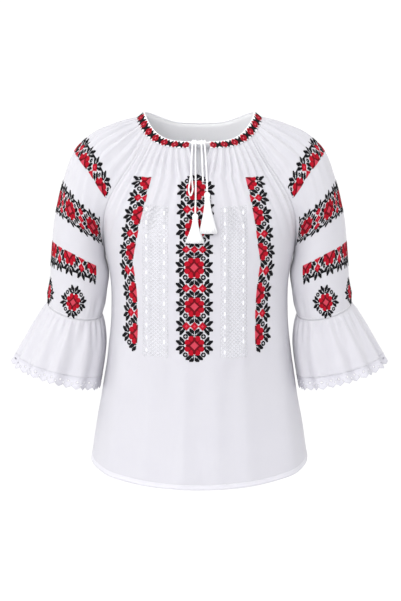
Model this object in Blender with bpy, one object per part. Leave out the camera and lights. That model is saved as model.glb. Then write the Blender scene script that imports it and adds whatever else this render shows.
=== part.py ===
"""An embroidered folk blouse in its worn, hollow form.

White cotton: front, back and two raglan sleeves gathered into one neck band, a flounce on
each sleeve with a lace edge, and a drawstring with two tassels that closes the front slit.
Lengths are in millimetres, angles in degrees. X runs to the viewer's right, the front faces
-Y and the origin is the middle of the neck opening at the height of the shoulders.
"""
from collections import namedtuple
import math

import bmesh
import bpy
import numpy as np
from mathutils import Vector

# Driving sizes
MM = 0.001
CLOTH = 1.6              # cloth wall
SEAM_GAP = 0.3           # between two pieces at a seam
NECK_GAP = 0.45          # between a panel and the band
UNDERARM_CLEARANCE = 1.5  # each wall from the meeting point under the arm
BODY_CLEARANCE_POWER = 6  # how soon it fades out across the body
SLEEVE_CLEARANCE_POWER = 3
CLEARANCE_FADE_START = 260.0
CLEARANCE_FADE = 60.0
CLEARANCE_KEPT = 0.5      # share of it that the sleeve keeps to the elbow
SIDE_Y = -4.0            # plane of the side seams and the sleeve's outer line
HEM_TURN = 8.0           # height of the turned hem
HEM_EXTRA = 0.7          # what the turned hem adds to the wall

# Neck opening: outer, lower edge of the band, and how far in and up its other edge lies
NECK_HALF_WIDTH = 104.0
NECK_HALF_DEPTH = 77.0
NECK_CENTRE_Y = -5.0
NECK_SIDE_Z = -8.0
NECK_FRONT_DROP = 50.5
NECK_BACK_DROP = 17.0
NECK_BACK_SHAPE = 2.2    # above 1 the back stays high beside the shoulders
BAND_INSET = 12.0
BAND_RISE = 10.0
BAND_COLUMNS = 56
RAGLAN_ANGLE = 57.8      # from the front or back centre to the raglan seam
SLIT_ANGLE = 9.7         # from the front centre to the band's end
SLIT_RUN = 76.0          # where the slit ends, along the raglan seam
SLIT_SHAPE = 0.8

# Band section: along the band from its lower edge, and out from its middle
BandPoint = namedtuple("BandPoint", "along out")
BAND_SECTION = (
    BandPoint(13.6, 1.9),
    BandPoint(15.4, 1.0),
    BandPoint(15.4, -1.0),
    BandPoint(12.6, -1.3),
    BandPoint(0.0, -1.3),
    BandPoint(0.0, 1.3),
    BandPoint(13.0, 1.3),
)

# Raglan seam and the sleeve beside it, from the neck to just below the underarm
Shoulder = namedtuple(
    "Shoulder", "run seam_x front_z back_z outer_x outer_z half_depth turn")
SHOULDER = (
    Shoulder(48, 110.0, -79, -62, 142.5, -20.0, 66, 66),
    Shoulder(86, 131.0, -111, -98, 181.5, -37.5, 70, 76),
    Shoulder(117, 147.0, -138, -129, 211.0, -66.0, 69, 92),
    Shoulder(146, 157.0, -165, -160, 229.5, -114.0, 66, 116),
    Shoulder(177, 161.0, -195, -193, 239.5, -152.0, 63, 144),
    Shoulder(226, 158.0, -243, -243, 247.0, -200.0, 61, 180),
    Shoulder(252, 152.7, -268, -268, 250.5, -243.0, 60, 180),
)
UNDERARM_RUN = 226.0
SLEEVE_MIDDLE_Z = -300.0

# Body beside the same seam: middle of the front and back, and how far the section turns
Chest = namedtuple("Chest", "run front_y front_z back_y back_z turn")
CHEST = (
    Chest(48, -97, -84, 90, -62, 56),
    Chest(86, -111, -117, 100, -97, 58),
    Chest(117, -119, -148, 106, -129, 62),
    Chest(146, -123, -178, 109, -161, 70),
    Chest(177, -126, -211, 109, -195, 79),
    Chest(226, -126, -255, 106, -243, 90),
    Chest(252, -126, -285, 103, -272, 90),
)

# Body below the underarm
Skirt = namedtuple("Skirt", "run side_x side_z front_y front_z back_y back_z")
SKIRT = (
    Skirt(287, 149.3, -303, -124, -320, 100, -308),
    Skirt(324, 149.0, -340, -121, -358, 98, -346),
    Skirt(378, 153.5, -393, -118, -412, 99, -402),
    Skirt(458, 164.7, -470, -119, -497, 106, -490),
    Skirt(511, 174.0, -522, -124, -556, 114, -549),
    Skirt(575, 183.5, -584, -130, -622, 121, -616),
)

# Sleeve below the underarm, and the flounce and lace under the elbow seam
Arm = namedtuple("Arm", "run inner_x inner_z outer_x outer_z half_depth front_drop")
ARM = (
    Arm(285, 156.5, -300, 253.0, -283.0, 58, 6),
    Arm(328, 165.5, -341, 257.5, -320.0, 53, 14),
)
FLOUNCE = (
    Arm(328, 165.5, -341, 257.5, -320.0, 53, 14),
    Arm(356, 161.0, -365, 275.5, -350.0, 59, 14),
    Arm(388, 159.5, -394, 292.5, -381.0, 66, 11),
    Arm(426, 166.5, -444, 307.0, -410.0, 72, 8),
    Arm(446, 170.5, -465, 314.5, -425.0, 74, 8),
)
FLOUNCE_END = 426.0
LACE_END = 446.0

# Mesh rows, along the raglan seam and on down the body and the sleeve
SEAM_ROWS = (0.0, 12.0, 28.0, 50.0, 76.0, 94.0, 114.0, 142.0, 177.0, 226.0)
BODY_ROWS = (252.0, 300.0, 350.0, 410.0, 480.0, 566.0, 567.0, 575.0)
ARM_ROWS = (252.0, 285.0, 308.0, 328.0)
FLOUNCE_ROWS = (328.0, 340.0, 362.0, 392.0, 426.0)

# Gathers: one ridge and one trough for every two columns
BODY_GATHERS = 18
SLEEVE_GATHERS = 12
FLOUNCE_COLUMNS = 48
FLOUNCE_WAVES = 12
WAVE_HEIGHT = 5.0
CALM_NEAR_BODY = 0.85     # how much smaller the waves are beside the body
CALM_POWER = 4
SHARE_STEP = 0.01         # steps that slopes are measured over
RUN_STEP = 0.5
Gather = namedtuple("Gather", "run height")
NECK_GATHERS = (
    Gather(0, 0.45), Gather(14, 1.5), Gather(50, 2.4), Gather(106, 1.6), Gather(190, 0.0))
ELBOW_GATHERS = (Gather(285, 0.0), Gather(308, 1.3), Gather(328, 0.5))
FLOUNCE_GATHERS = (Gather(328, 0.5), Gather(340, 1.3), Gather(392, 0.0))
FLOUNCE_WAVE = (Gather(328, 0.0), Gather(362, 0.45), Gather(426, 1.0), Gather(446, 1.1))

# Soft folds of the loose body, across the panel from -1 to 1, and along its length
FOLD_REACH = 1.15         # a fold goes on this far past its bottom
FOLD_SWELL = 2.2          # how soon it reaches its height
Fold = namedtuple("Fold", "place width height top bottom lean")
FRONT_FOLDS = (
    Fold(-0.62, 0.10, 3.0, 250, 560, 0.06),
    Fold(-0.34, 0.08, 2.0, 330, 570, 0.02),
    Fold(-0.10, 0.06, 2.6, 320, 575, 0.00),
    Fold(0.10, 0.06, 2.2, 330, 570, 0.01),
    Fold(0.30, 0.07, 2.4, 300, 560, -0.02),
    Fold(0.66, 0.10, 3.2, 240, 560, -0.05),
)
BACK_FOLDS = (
    Fold(-0.60, 0.10, 3.0, 240, 560, 0.05),
    Fold(-0.22, 0.09, 2.4, 280, 570, 0.02),
    Fold(0.20, 0.08, 2.8, 260, 570, 0.00),
    Fold(0.58, 0.10, 3.0, 250, 560, -0.04),
)

# Lace: one scallop with one eyelet for each repeat
LACE_REPEATS = 32
LACE_WALL = 1.2
HALF_CUFF_ROUND = 230.0
EYELET_DEPTH = 0.40
EYELET_HALF_WIDTH = 0.22
EYELET_HALF_HEIGHT = 0.16
EYELET_SIDES = 6
SCALLOP_NOTCH = 0.80

# Drawstring and tassels
CORD_RADIUS = 1.4
CORD_SIDES_LEVEL = 2
CORD_STEP = 7.0
CORD_FINE_POINTS = 400
REAR_LAYER = 6.2          # cord's middle in front of the cloth's middle
FRONT_LAYER = 9.8
TASSEL_LAYER = 7.6
KNOT_AXIS_Y = -75.5
KNOT_AXIS_Z = -51.0
KNOT_BULGE = 3.0
KnotRing = namedtuple("KnotRing", "x radius")
KNOT_RINGS = (
    KnotRing(-15.6, 1.5), KnotRing(-13.8, 1.6), KnotRing(-12.6, 3.0), KnotRing(-9.0, 3.8),
    KnotRing(-3.6, 3.2), KnotRing(1.5, 3.8), KnotRing(7.0, 3.6), KnotRing(10.4, 3.0),
    KnotRing(12.0, 1.6), KnotRing(15.6, 1.5),
)
KNOT_SIDES = 10
CordPoint = namedtuple("CordPoint", "x z layer")
CORD_END_LEFT = (
    CordPoint(-6.4, -53.7, -1.2), CordPoint(-6.5, -64.0, 1.4),
    CordPoint(-6.6, -76.0, REAR_LAYER), CordPoint(-6.2, -110.0, REAR_LAYER),
    CordPoint(-6.2, -140.0, REAR_LAYER), CordPoint(-6.8, -165.8, TASSEL_LAYER),
)
CORD_END_RIGHT = (
    CordPoint(8.6, -53.6, -1.7), CordPoint(9.4, -64.0, 1.4),
    CordPoint(10.2, -76.0, REAR_LAYER), CordPoint(11.2, -92.0, REAR_LAYER),
    CordPoint(12.2, -112.0, REAR_LAYER), CordPoint(12.4, -130.9, TASSEL_LAYER),
)
CORD_LOOP_LEFT = (
    CordPoint(-11.6, -53.5, -2.5), CordPoint(-12.2, -64.0, 4.8),
    CordPoint(-12.8, -76.0, FRONT_LAYER), CordPoint(-13.6, -100.0, FRONT_LAYER),
    CordPoint(-15.8, -116.0, FRONT_LAYER), CordPoint(-17.4, -130.0, FRONT_LAYER - 1.0),
    CordPoint(-14.6, -137.4, FRONT_LAYER - 2.0), CordPoint(-11.4, -130.0, FRONT_LAYER - 3.0),
    CordPoint(-11.8, -116.0, REAR_LAYER), CordPoint(-13.2, -98.0, REAR_LAYER),
    CordPoint(-12.6, -76.0, REAR_LAYER), CordPoint(-12.0, -64.0, 1.8),
    CordPoint(-11.6, -55.5, -5.6),
)
CORD_LOOP_RIGHT = (
    CordPoint(3.2, -53.9, -0.6), CordPoint(3.6, -64.0, 4.8),
    CordPoint(4.2, -76.0, FRONT_LAYER), CordPoint(5.0, -94.0, FRONT_LAYER),
    CordPoint(5.6, -108.0, FRONT_LAYER - 0.2), CordPoint(5.9, -114.8, FRONT_LAYER - 1.8),
    CordPoint(5.6, -108.0, REAR_LAYER), CordPoint(5.0, -94.0, REAR_LAYER),
    CordPoint(4.2, -76.0, REAR_LAYER), CordPoint(3.6, -64.0, 1.2),
    CordPoint(3.2, -56.0, -4.0),
)

Tassel = namedtuple("Tassel", "x top_z bottom_x length spread layer")
TASSELS = {
    "tassel_left": Tassel(-6.8, -166.4, -10.5, 49.0, 15.0, TASSEL_LAYER),
    "tassel_right": Tassel(12.4, -131.8, 12.9, 68.0, 14.5, TASSEL_LAYER),
}
TasselRing = namedtuple("TasselRing", "down radius")
TASSEL_HEAD = (
    TasselRing(0.0, 1.8), TasselRing(1.4, 4.0), TasselRing(5.0, 5.4), TasselRing(8.6, 4.6),
    TasselRing(10.0, 4.0), TasselRing(12.0, 5.6),
)
TASSEL_SIDES = 12
TASSEL_RINGS = (0.62, 0.30)
STRAND_SHARE = 0.62       # strand's width as a share of its root's
SKIRT_FLATNESS = 0.45
STRAND_STAGGER = 1.5
STRAND_INSET = 0.25

SMOOTH_ANGLE = 50.0
BAND_SMOOTH_ANGLE = 35.0
CLOTH_ROUGHNESS = 0.85
WHITE_COTTON = (0.86, 0.87, 0.90, 1.0)
WHITE_LACE = (0.90, 0.91, 0.93, 1.0)
RED_STITCHED = (0.55, 0.03, 0.05, 1.0)
WHITE_CORD = (0.88, 0.88, 0.90, 1.0)


def clear_scene():
    """Remove whatever the opened file holds."""
    for item in list(bpy.data.objects):
        bpy.data.objects.remove(item, do_unlink=True)


def make_material(name, colour):
    """Return a Principled material of one colour."""
    material = bpy.data.materials.new(name)
    material.use_nodes = True
    shader = material.node_tree.nodes["Principled BSDF"]
    shader.inputs["Base Color"].default_value = colour
    shader.inputs["Roughness"].default_value = CLOTH_ROUGHNESS
    shader.inputs["Metallic"].default_value = 0.0
    return material


def unit(vectors):
    """Return the vectors at length one."""
    return vectors / np.linalg.norm(vectors, axis=-1, keepdims=True)


def ease(value):
    """Go from 0 to 1 with level ends."""
    value = np.clip(value, 0.0, 1.0)
    return value * value * (3.0 - 2.0 * value)


def height_along(table, runs):
    """Read a gather's height along the cloth."""
    return np.interp(runs, [row.run for row in table], [row.height for row in table])


def loft(sections, knots, runs):
    """Pass a cubic through matching points of the sections, with three-point slopes."""
    sections = np.asarray(sections, dtype=float)
    knots = np.asarray(knots, dtype=float)
    runs = np.asarray(runs, dtype=float)
    gaps = np.diff(knots)[:, None, None]
    chords = np.diff(sections, axis=0) / gaps
    slopes = np.empty_like(sections)
    slopes[0] = chords[0]
    slopes[-1] = chords[-1]
    slopes[1:-1] = (chords[:-1] * gaps[1:] + chords[1:] * gaps[:-1]) / (gaps[1:] + gaps[:-1])
    low = np.clip(np.searchsorted(knots, runs, side="right") - 1, 0, len(knots) - 2)
    gap = gaps[low]
    t = ((runs - knots[low])[:, None, None]) / gap
    start = (1 + 2 * t) * (1 - t) ** 2 * sections[low] + t * (1 - t) ** 2 * gap * slopes[low]
    end = t * t * (3 - 2 * t) * sections[low + 1] + t * t * (t - 1) * gap * slopes[low + 1]
    return start + end


def neck_curve(angles, inner=0.0):
    """Place points on the band: angle 0 is the front middle, inner 1 its upper edge."""
    angles = np.radians(np.asarray(angles, dtype=float))
    cosine = np.cos(angles)
    front_drop = NECK_FRONT_DROP * ease(cosine)
    back_drop = NECK_BACK_DROP * ease(np.abs(cosine) ** NECK_BACK_SHAPE)
    drop = np.where(cosine > 0, front_drop, back_drop)
    x = (NECK_HALF_WIDTH - inner * BAND_INSET) * np.sin(angles)
    y = NECK_CENTRE_Y - (NECK_HALF_DEPTH - inner * BAND_INSET) * cosine
    z = NECK_SIDE_Z - drop + inner * BAND_RISE
    return np.stack([x, y, z], axis=-1)


def neck_frame(angles):
    """Return the way down the band and the way out of it."""
    angles = np.asarray(angles)
    along = unit(neck_curve(angles + RUN_STEP) - neck_curve(angles - RUN_STEP))
    down = unit(neck_curve(angles) - neck_curve(angles, inner=1.0))
    out = unit(np.cross(down, along))
    return down, out


def body_arc(side, middle, turn, share):
    """Draw one body section as an arc from its middle to the side point."""
    angle = np.radians(turn) * share
    reach = np.sin(angle) / math.sin(math.radians(turn))
    weight = (np.cos(angle) - math.cos(math.radians(turn))) / (1 - math.cos(math.radians(turn)))
    y = side[1] + (middle[0] - side[1]) * weight
    z = side[2] + (middle[1] - side[2]) * weight
    return np.stack([side[0] * reach, y, z], axis=-1)


def sleeve_arc(front, back, outer, half_depth, turn, front_drop, share):
    """Draw one sleeve section round the arm, from the front seam (-1) to the back seam (1)."""
    angle = np.radians(turn) * share
    cosine = np.cos(angle)
    end = math.cos(math.radians(turn))
    seam = np.where((share < 0)[:, None], np.asarray(front), np.asarray(back))
    middle = (seam - np.asarray(outer) * end) / (1 - end)
    flat = middle + (np.asarray(outer) - middle) * cosine[:, None]
    y = SIDE_Y + half_depth * np.sin(angle)
    z = flat[:, 1] + front_drop * np.sin(angle)
    return np.stack([flat[:, 0], y, z], axis=-1)


def raglan_point(row, front):
    """Place the raglan seam on one row, from the sleeve's section."""
    half = row.half_depth * math.sin(math.radians(row.turn))
    y = SIDE_Y - half if front else SIDE_Y + half
    return (row.seam_x, y, row.front_z if front else row.back_z)


def slit_share(shares, run):
    """Move the columns aside for the slit, which narrows to nothing."""
    open_part = SLIT_ANGLE / RAGLAN_ANGLE * max(0.0, 1 - run / SLIT_RUN) ** SLIT_SHAPE
    return open_part + (1 - open_part) * shares


def body_surface(shares, runs, front):
    """Return the right half of the front or back, one row for each run."""
    rows = []
    for run in runs:
        share = slit_share(shares, run) if front else shares
        angles = RAGLAN_ANGLE * share if front else 180.0 - RAGLAN_ANGLE * share
        sections = [neck_curve(angles)]
        for seam, chest in zip(SHOULDER, CHEST):
            middle = (chest.front_y, chest.front_z) if front else (chest.back_y, chest.back_z)
            sections.append(body_arc(raglan_point(seam, front), middle, chest.turn, share))
        for skirt in SKIRT:
            middle = (skirt.front_y, skirt.front_z) if front else (skirt.back_y, skirt.back_z)
            sections.append(
                body_arc((skirt.side_x, SIDE_Y, skirt.side_z), middle, 90.0, share))
        knots = [0.0] + [row.run for row in CHEST] + [row.run for row in SKIRT]
        rows.append(loft(sections, knots, [run])[0])
    return np.array(rows)


def sleeve_surface(shares, runs):
    """Return the right sleeve from the neck to the elbow seam."""
    sections = [neck_curve(90.0 + (90.0 - RAGLAN_ANGLE) * shares)]
    for row in SHOULDER:
        front = (row.seam_x, row.front_z)
        back = (row.seam_x, row.back_z)
        outer = (row.outer_x, row.outer_z)
        sections.append(sleeve_arc(front, back, outer, row.half_depth, row.turn, 0.0, shares))
    sections += [arm_section(row, shares) for row in ARM]
    knots = [0.0] + [row.run for row in SHOULDER] + [row.run for row in ARM]
    return loft(sections, knots, runs)


def arm_section(row, shares):
    """Draw one whole ring of the sleeve or the flounce."""
    inner = (row.inner_x, row.inner_z)
    outer = (row.outer_x, row.outer_z)
    return sleeve_arc(inner, inner, outer, row.half_depth, 180.0, row.front_drop, shares)


def flounce_surface(shares, runs):
    """Return the right flounce and lace as one smooth flare."""
    sections = [arm_section(row, shares) for row in FLOUNCE]
    return loft(sections, [row.run for row in FLOUNCE], runs)


def grid_normals(points, outward, closed=False):
    """Return smooth normals of a grid, facing the same way as outward."""
    down = np.gradient(points, axis=0)
    if closed:
        across = np.roll(points, -1, axis=1) - np.roll(points, 1, axis=1)
    else:
        across = np.gradient(points, axis=1)
    normals = unit(np.cross(down, across))
    sign = np.sign(np.sum(normals * outward, axis=-1, keepdims=True).mean())
    return normals * sign


def ring_normals(normals, ring):
    """Lay a ring's normals in the ring's own plane."""
    quarter = len(ring) // 4
    axis = unit(np.cross(ring[quarter] - ring[0], ring[2 * quarter] - ring[0]))
    return unit(normals - (normals @ axis)[:, None] * axis)


def fold_height(folds, share, run):
    """Add up the soft folds at one place."""
    total = 0.0
    for fold in folds:
        along = (run - fold.top) / (fold.bottom - fold.top)
        if not 0.0 < along < FOLD_REACH:
            continue
        swell = float(ease(np.array(along * FOLD_SWELL)))
        place = fold.place + fold.lean * (along - 0.5)
        total += fold.height * swell * math.exp(-((share - place) / fold.width) ** 2)
    return total


def grid_faces(ids, flip=False):
    """Split a grid of vertex numbers into triangles."""
    faces = []
    for i in range(ids.shape[0] - 1):
        for j in range(ids.shape[1] - 1):
            a, b = int(ids[i, j]), int(ids[i + 1, j])
            c, d = int(ids[i + 1, j + 1]), int(ids[i, j + 1])
            pair = [(a, b, d), (b, c, d)] if (i + j) % 2 == 0 else [(a, b, c), (a, c, d)]
            faces += [tuple(reversed(face)) for face in pair] if flip else pair
    return [face for face in faces if len(set(face)) == 3]


def add_object(name, vertices, faces, material, smooth_angle=SMOOTH_ANGLE):
    """Make one object from points in millimetres."""
    mesh = bpy.data.meshes.new(name)
    mesh.from_pydata([tuple(MM * float(value) for value in point) for point in vertices], [], faces)
    mesh.materials.append(material)
    mesh.shade_smooth()
    mesh.set_sharp_from_angle(angle=math.radians(smooth_angle))
    mesh.validate()
    item = bpy.data.objects.new(name, mesh)
    bpy.context.scene.collection.objects.link(item)
    return item


def add_wall(name, outer, inner, faces, material):
    """Close two skins into one wall, with a rim along every open edge."""
    count = len(outer)
    directed = {(face[k], face[(k + 1) % 3]) for face in faces for k in range(3)}
    rim = []
    for a, b in sorted(directed):
        if (b, a) not in directed:
            rim += [(b, a, a + count), (b, a + count, b + count)]
    inside = [tuple(number + count for number in reversed(face)) for face in faces]
    used = sorted({number for face in faces for number in face})
    renumber = {old: new for new, old in enumerate(used + [number + count for number in used])}
    points = np.concatenate([outer, inner])[used + [number + count for number in used]]
    all_faces = [tuple(renumber[number] for number in face) for face in faces + inside + rim]
    return add_object(name, points, all_faces, material)


def mirrored(points):
    """Reflect points to the other side."""
    return points * np.array([-1.0, 1.0, 1.0])


def seam_shift(points, normals, into):
    """Move a seam column back from the seam by half the gap."""
    along = unit(np.gradient(points, axis=0))
    aside = unit(np.cross(along, normals))
    aside = aside * np.sign(np.sum(aside * into, axis=-1, keepdims=True))
    return aside * (SEAM_GAP / 2)


class Cut:
    """The smooth surfaces of the right half, their normals and their shared seams."""

    def __init__(self):
        self.rows = np.array(SEAM_ROWS + BODY_ROWS)
        self.seam_count = len(SEAM_ROWS)
        half = BODY_GATHERS
        self.shares = np.linspace(0.0, 1.0, half + 1)
        self.front = body_surface(self.shares, self.rows, True)
        self.back = body_surface(self.shares, self.rows, False)
        self.arm_rows = np.array(SEAM_ROWS + ARM_ROWS)
        self.arm_shares = np.linspace(-1.0, 1.0, 2 * SLEEVE_GATHERS + 1)
        self.sleeve = sleeve_surface(self.arm_shares, self.arm_rows)
        self.front_normals = grid_normals(self.front, np.array([0.0, -1.0, 0.0]))
        self.back_normals = grid_normals(self.back, np.array([0.0, 1.0, 0.0]))
        middle = np.array([self.sleeve[:, :, 0].mean(), SIDE_Y, SLEEVE_MIDDLE_Z])
        self.sleeve_normals = grid_normals(self.sleeve, self.sleeve - middle)
        self.settle_normals()

    def settle_normals(self):
        """Share normals along the seams, the middles and the rings."""
        below = self.seam_count
        for normals in (self.front_normals, self.back_normals):
            first = SEAM_ROWS.index(SLIT_RUN) if normals is self.front_normals else 0
            normals[first:, 0, 0] = 0.0
        for panel, column in ((self.front_normals, 0), (self.back_normals, -1)):
            for i in range(below - 1):
                shared = unit(panel[i, -1] + self.sleeve_normals[i, column])
                panel[i, -1] = shared
                self.sleeve_normals[i, column] = shared
            panel[below - 1:, -1] = (1.0, 0.0, 0.0)
        ring = unit(self.sleeve_normals[below - 1:, 0] + self.sleeve_normals[below - 1:, -1])
        self.sleeve_normals[below - 1:, 0] = ring
        self.sleeve_normals[below - 1:, -1] = ring
        self.sleeve_normals[below - 1, (0, -1)] = (-1.0, 0.0, 0.0)
        self.sleeve_normals[-1] = ring_normals(self.sleeve_normals[-1], self.sleeve[-1])
        front_angles = RAGLAN_ANGLE * slit_share(self.shares, 0.0)
        self.front_normals[0] = neck_frame(front_angles)[1]
        self.back_normals[0] = neck_frame(180.0 - RAGLAN_ANGLE * self.shares)[1]
        sleeve_angles = 90.0 + (90.0 - RAGLAN_ANGLE) * self.arm_shares
        self.sleeve_normals[0] = neck_frame(sleeve_angles)[1]
        self.front_normals = unit(self.front_normals)
        self.back_normals = unit(self.back_normals)


def neck_clearance(points, angles):
    """Start a panel one gap below the band."""
    points[0] += neck_frame(angles)[0] * NECK_GAP


def build_body(cut, name, front, folds, material):
    """Build the front, with its slit, or the back."""
    smooth = (cut.front if front else cut.back).copy()
    normals = cut.front_normals if front else cut.back_normals
    angles = RAGLAN_ANGLE * (slit_share(cut.shares, 0.0) if front else cut.shares)
    neck_clearance(smooth, angles if front else 180.0 - angles)
    low = cut.seam_count - 1
    smooth[:low, -1] += seam_shift(cut.front[:, -1] if front else cut.back[:, -1],
                                   normals[:, -1], smooth[:, -2] - smooth[:, -1])[:low]
    clearance = UNDERARM_CLEARANCE * np.abs(cut.shares) ** BODY_CLEARANCE_POWER
    fade = 1.0 - ease((cut.rows - CLEARANCE_FADE_START) / CLEARANCE_FADE)
    smooth[low:, :, 0] -= clearance * fade[low:, None]
    smooth[low:, -1, 1] += (-0.5 if front else 0.5) * SEAM_GAP
    gather = height_along(NECK_GATHERS, cut.rows)[:, None] * (-1.0) ** np.arange(len(cut.shares))
    gather[:, -1] = 0.0
    thick = np.full(len(cut.rows), CLOTH / 2)
    thick[cut.rows > cut.rows[-1] - HEM_TURN] += HEM_EXTRA
    rows, columns = smooth.shape[:2]
    skins = []
    for sign in (1.0, -1.0):
        lift = gather.copy()
        for i, run in enumerate(cut.rows):
            for j, share in enumerate(cut.shares[:-1]):
                lift[i, j] += fold_height(folds, sign * share, run)
        outer = smooth + normals * (lift + thick[:, None])[:, :, None]
        inner = smooth + normals * (lift - CLOTH / 2)[:, :, None]
        if sign < 0:
            outer, inner = mirrored(outer), mirrored(inner)
        skins.append((outer.reshape(-1, 3), inner.reshape(-1, 3)))
    ids = np.arange(rows * columns).reshape(rows, columns)
    other = ids + rows * columns
    joined = SEAM_ROWS.index(SLIT_RUN) if front else 0
    other[joined:, 0] = ids[joined:, 0]
    faces = grid_faces(ids, flip=not front) + grid_faces(other, flip=front)
    outer = np.concatenate([skins[0][0], skins[1][0]])
    inner = np.concatenate([skins[0][1], skins[1][1]])
    return add_wall(name, outer, inner, faces, material)


def build_sleeve(cut, name, left, material):
    """Build one sleeve: open beside the raglan seams, a tube below the underarm."""
    smooth = cut.sleeve.copy()
    normals = cut.sleeve_normals
    neck_clearance(smooth, 90.0 + (90.0 - RAGLAN_ANGLE) * cut.arm_shares)
    low = cut.seam_count - 1
    for column, beside in ((0, 1), (-1, -2)):
        shift = seam_shift(cut.sleeve[:, column], normals[:, column],
                           cut.sleeve[:, beside] - cut.sleeve[:, column])
        smooth[:low, column] += shift[:low]
    near = ((1.0 - np.cos(np.pi * cut.arm_shares)) / 2) ** SLEEVE_CLEARANCE_POWER
    fade = ease((cut.arm_rows - CLEARANCE_FADE_START) / CLEARANCE_FADE)
    fade = 1.0 - (1.0 - CLEARANCE_KEPT) * fade
    smooth[low:, :, 0] += UNDERARM_CLEARANCE * near * fade[low:, None]
    sign = (-1.0) ** np.arange(len(cut.arm_shares))
    lift = np.where(cut.arm_rows < UNDERARM_RUN, height_along(NECK_GATHERS, cut.arm_rows),
                    height_along(ELBOW_GATHERS, cut.arm_rows))[:, None] * sign
    lift[:low + 1, 0] = 0.0
    lift[:low + 1, -1] = 0.0
    outer = smooth + normals * (lift + CLOTH / 2)[:, :, None]
    inner = smooth + normals * (lift - CLOTH / 2)[:, :, None]
    rows, columns = smooth.shape[:2]
    ids = np.arange(rows * columns).reshape(rows, columns)
    ids[low:, -1] = ids[low:, 0]
    if left:
        outer, inner = mirrored(outer), mirrored(inner)
    faces = grid_faces(ids, flip=left)
    return add_wall(name, outer.reshape(-1, 3), inner.reshape(-1, 3), faces, material)


def flounce_skin(shares, runs):
    """Return the waved flounce's middle surface and its normals."""
    smooth = flounce_surface(shares, runs)
    around = flounce_surface(shares + SHARE_STEP, runs)
    around -= flounce_surface(shares - SHARE_STEP, runs)
    down = flounce_surface(shares, runs + RUN_STEP) - flounce_surface(shares, runs - RUN_STEP)
    normals = unit(np.cross(down, around))
    for i, run in enumerate(runs):
        if run in (FLOUNCE_ROWS[0], FLOUNCE_END):
            normals[i] = ring_normals(normals[i], smooth[i])
    free = 1.0 - CALM_NEAR_BODY * ((1.0 - np.cos(np.pi * shares)) / 2) ** CALM_POWER
    wave = WAVE_HEIGHT * free * np.cos(np.pi * FLOUNCE_WAVES * shares)
    smooth += normals * (height_along(FLOUNCE_WAVE, runs)[:, None] * wave)[..., None]
    return smooth, normals


def build_flounce(name, left, material):
    """Build one flounce as a waved tube."""
    shares = np.linspace(-1.0, 1.0, FLOUNCE_COLUMNS + 1)
    runs = np.array(FLOUNCE_ROWS)
    smooth, normals = flounce_skin(shares, runs)
    down = unit(np.gradient(smooth, axis=0))
    smooth[0] += down[0] * SEAM_GAP
    lift = height_along(FLOUNCE_GATHERS, runs)[:, None] * (-1.0) ** np.arange(len(shares))
    outer = smooth + normals * (lift + CLOTH / 2)[:, :, None]
    inner = smooth + normals * (lift - CLOTH / 2)[:, :, None]
    rows, columns = smooth.shape[:2]
    ids = np.arange(rows * columns).reshape(rows, columns)
    ids[:, -1] = ids[:, 0]
    if left:
        outer, inner = mirrored(outer), mirrored(inner)
    faces = grid_faces(ids, flip=left)
    return add_wall(name, outer.reshape(-1, 3), inner.reshape(-1, 3), faces, material)


def lace_cell():
    """Lay out one repeat: an eyelet inside a scallop, as flat points and triangles."""
    eyelet = []
    for k in range(EYELET_SIDES):
        turn = 2 * math.pi * k / EYELET_SIDES + math.pi / 2
        eyelet.append((0.5 + EYELET_HALF_WIDTH * math.cos(turn),
                       EYELET_DEPTH - EYELET_HALF_HEIGHT * math.sin(turn)))
    border = [(0.5, 0.0), (0.0, 0.0), (0.0, SCALLOP_NOTCH), (0.5, 1.0),
              (1.0, SCALLOP_NOTCH), (1.0, 0.0)]
    faces = []
    for k in range(EYELET_SIDES):
        n = (k + 1) % EYELET_SIDES
        faces += [(k, 6 + k, 6 + n), (k, 6 + n, n)]
    return eyelet + border, faces


def build_lace(name, left, front, material):
    """Build one half of a cuff's lace edge, with its eyelets cut through."""
    cell, cell_faces = lace_cell()
    repeats = LACE_REPEATS // 2
    places, faces, numbers = [], [], {}
    start = -1.0 if front else 0.0
    for repeat in range(repeats):
        ids = []
        for across, down in cell:
            key = (round(repeat + across, 4), round(down, 4))
            if key not in numbers:
                numbers[key] = len(places)
                places.append((start + (repeat + across) / repeats, down))
            ids.append(numbers[key])
        faces += [tuple(ids[number] for number in face) for face in cell_faces]
    outer, inner = [], []
    gap_share = SEAM_GAP / 2 / HALF_CUFF_ROUND
    for share, down in places:
        share = min(max(share, start + gap_share), start + 1.0 - gap_share)
        run = FLOUNCE_END + down * (LACE_END - FLOUNCE_END)
        point, normal = flounce_skin(np.linspace(share, share + 2.0, 9), np.array([run]))
        slope = unit(flounce_surface(np.array([share]), [run + RUN_STEP])[0]
                     - flounce_surface(np.array([share]), [run - RUN_STEP])[0])[0]
        point = point[0, 0] + (slope * SEAM_GAP if down == 0.0 else 0.0)
        outer.append(point + normal[0, 0] * LACE_WALL / 2)
        inner.append(point - normal[0, 0] * LACE_WALL / 2)
    outer, inner = np.array(outer), np.array(inner)
    if left:
        outer, inner = mirrored(outer), mirrored(inner)
        faces = [tuple(reversed(face)) for face in faces]
    return add_wall(name, outer, inner, faces, material)


def sweep_faces(rings, sides):
    """Join closed rings of points into a capped solid."""
    faces = []
    for i in range(rings - 1):
        for j in range(sides):
            k = (j + 1) % sides
            faces += [(i * sides + j, i * sides + k, (i + 1) * sides + k),
                      (i * sides + j, (i + 1) * sides + k, (i + 1) * sides + j)]
    faces += [(0, k + 1, k) for k in range(1, sides - 1)]
    last = (rings - 1) * sides
    faces += [(last, last + k, last + k + 1) for k in range(1, sides - 1)]
    return faces


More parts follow.
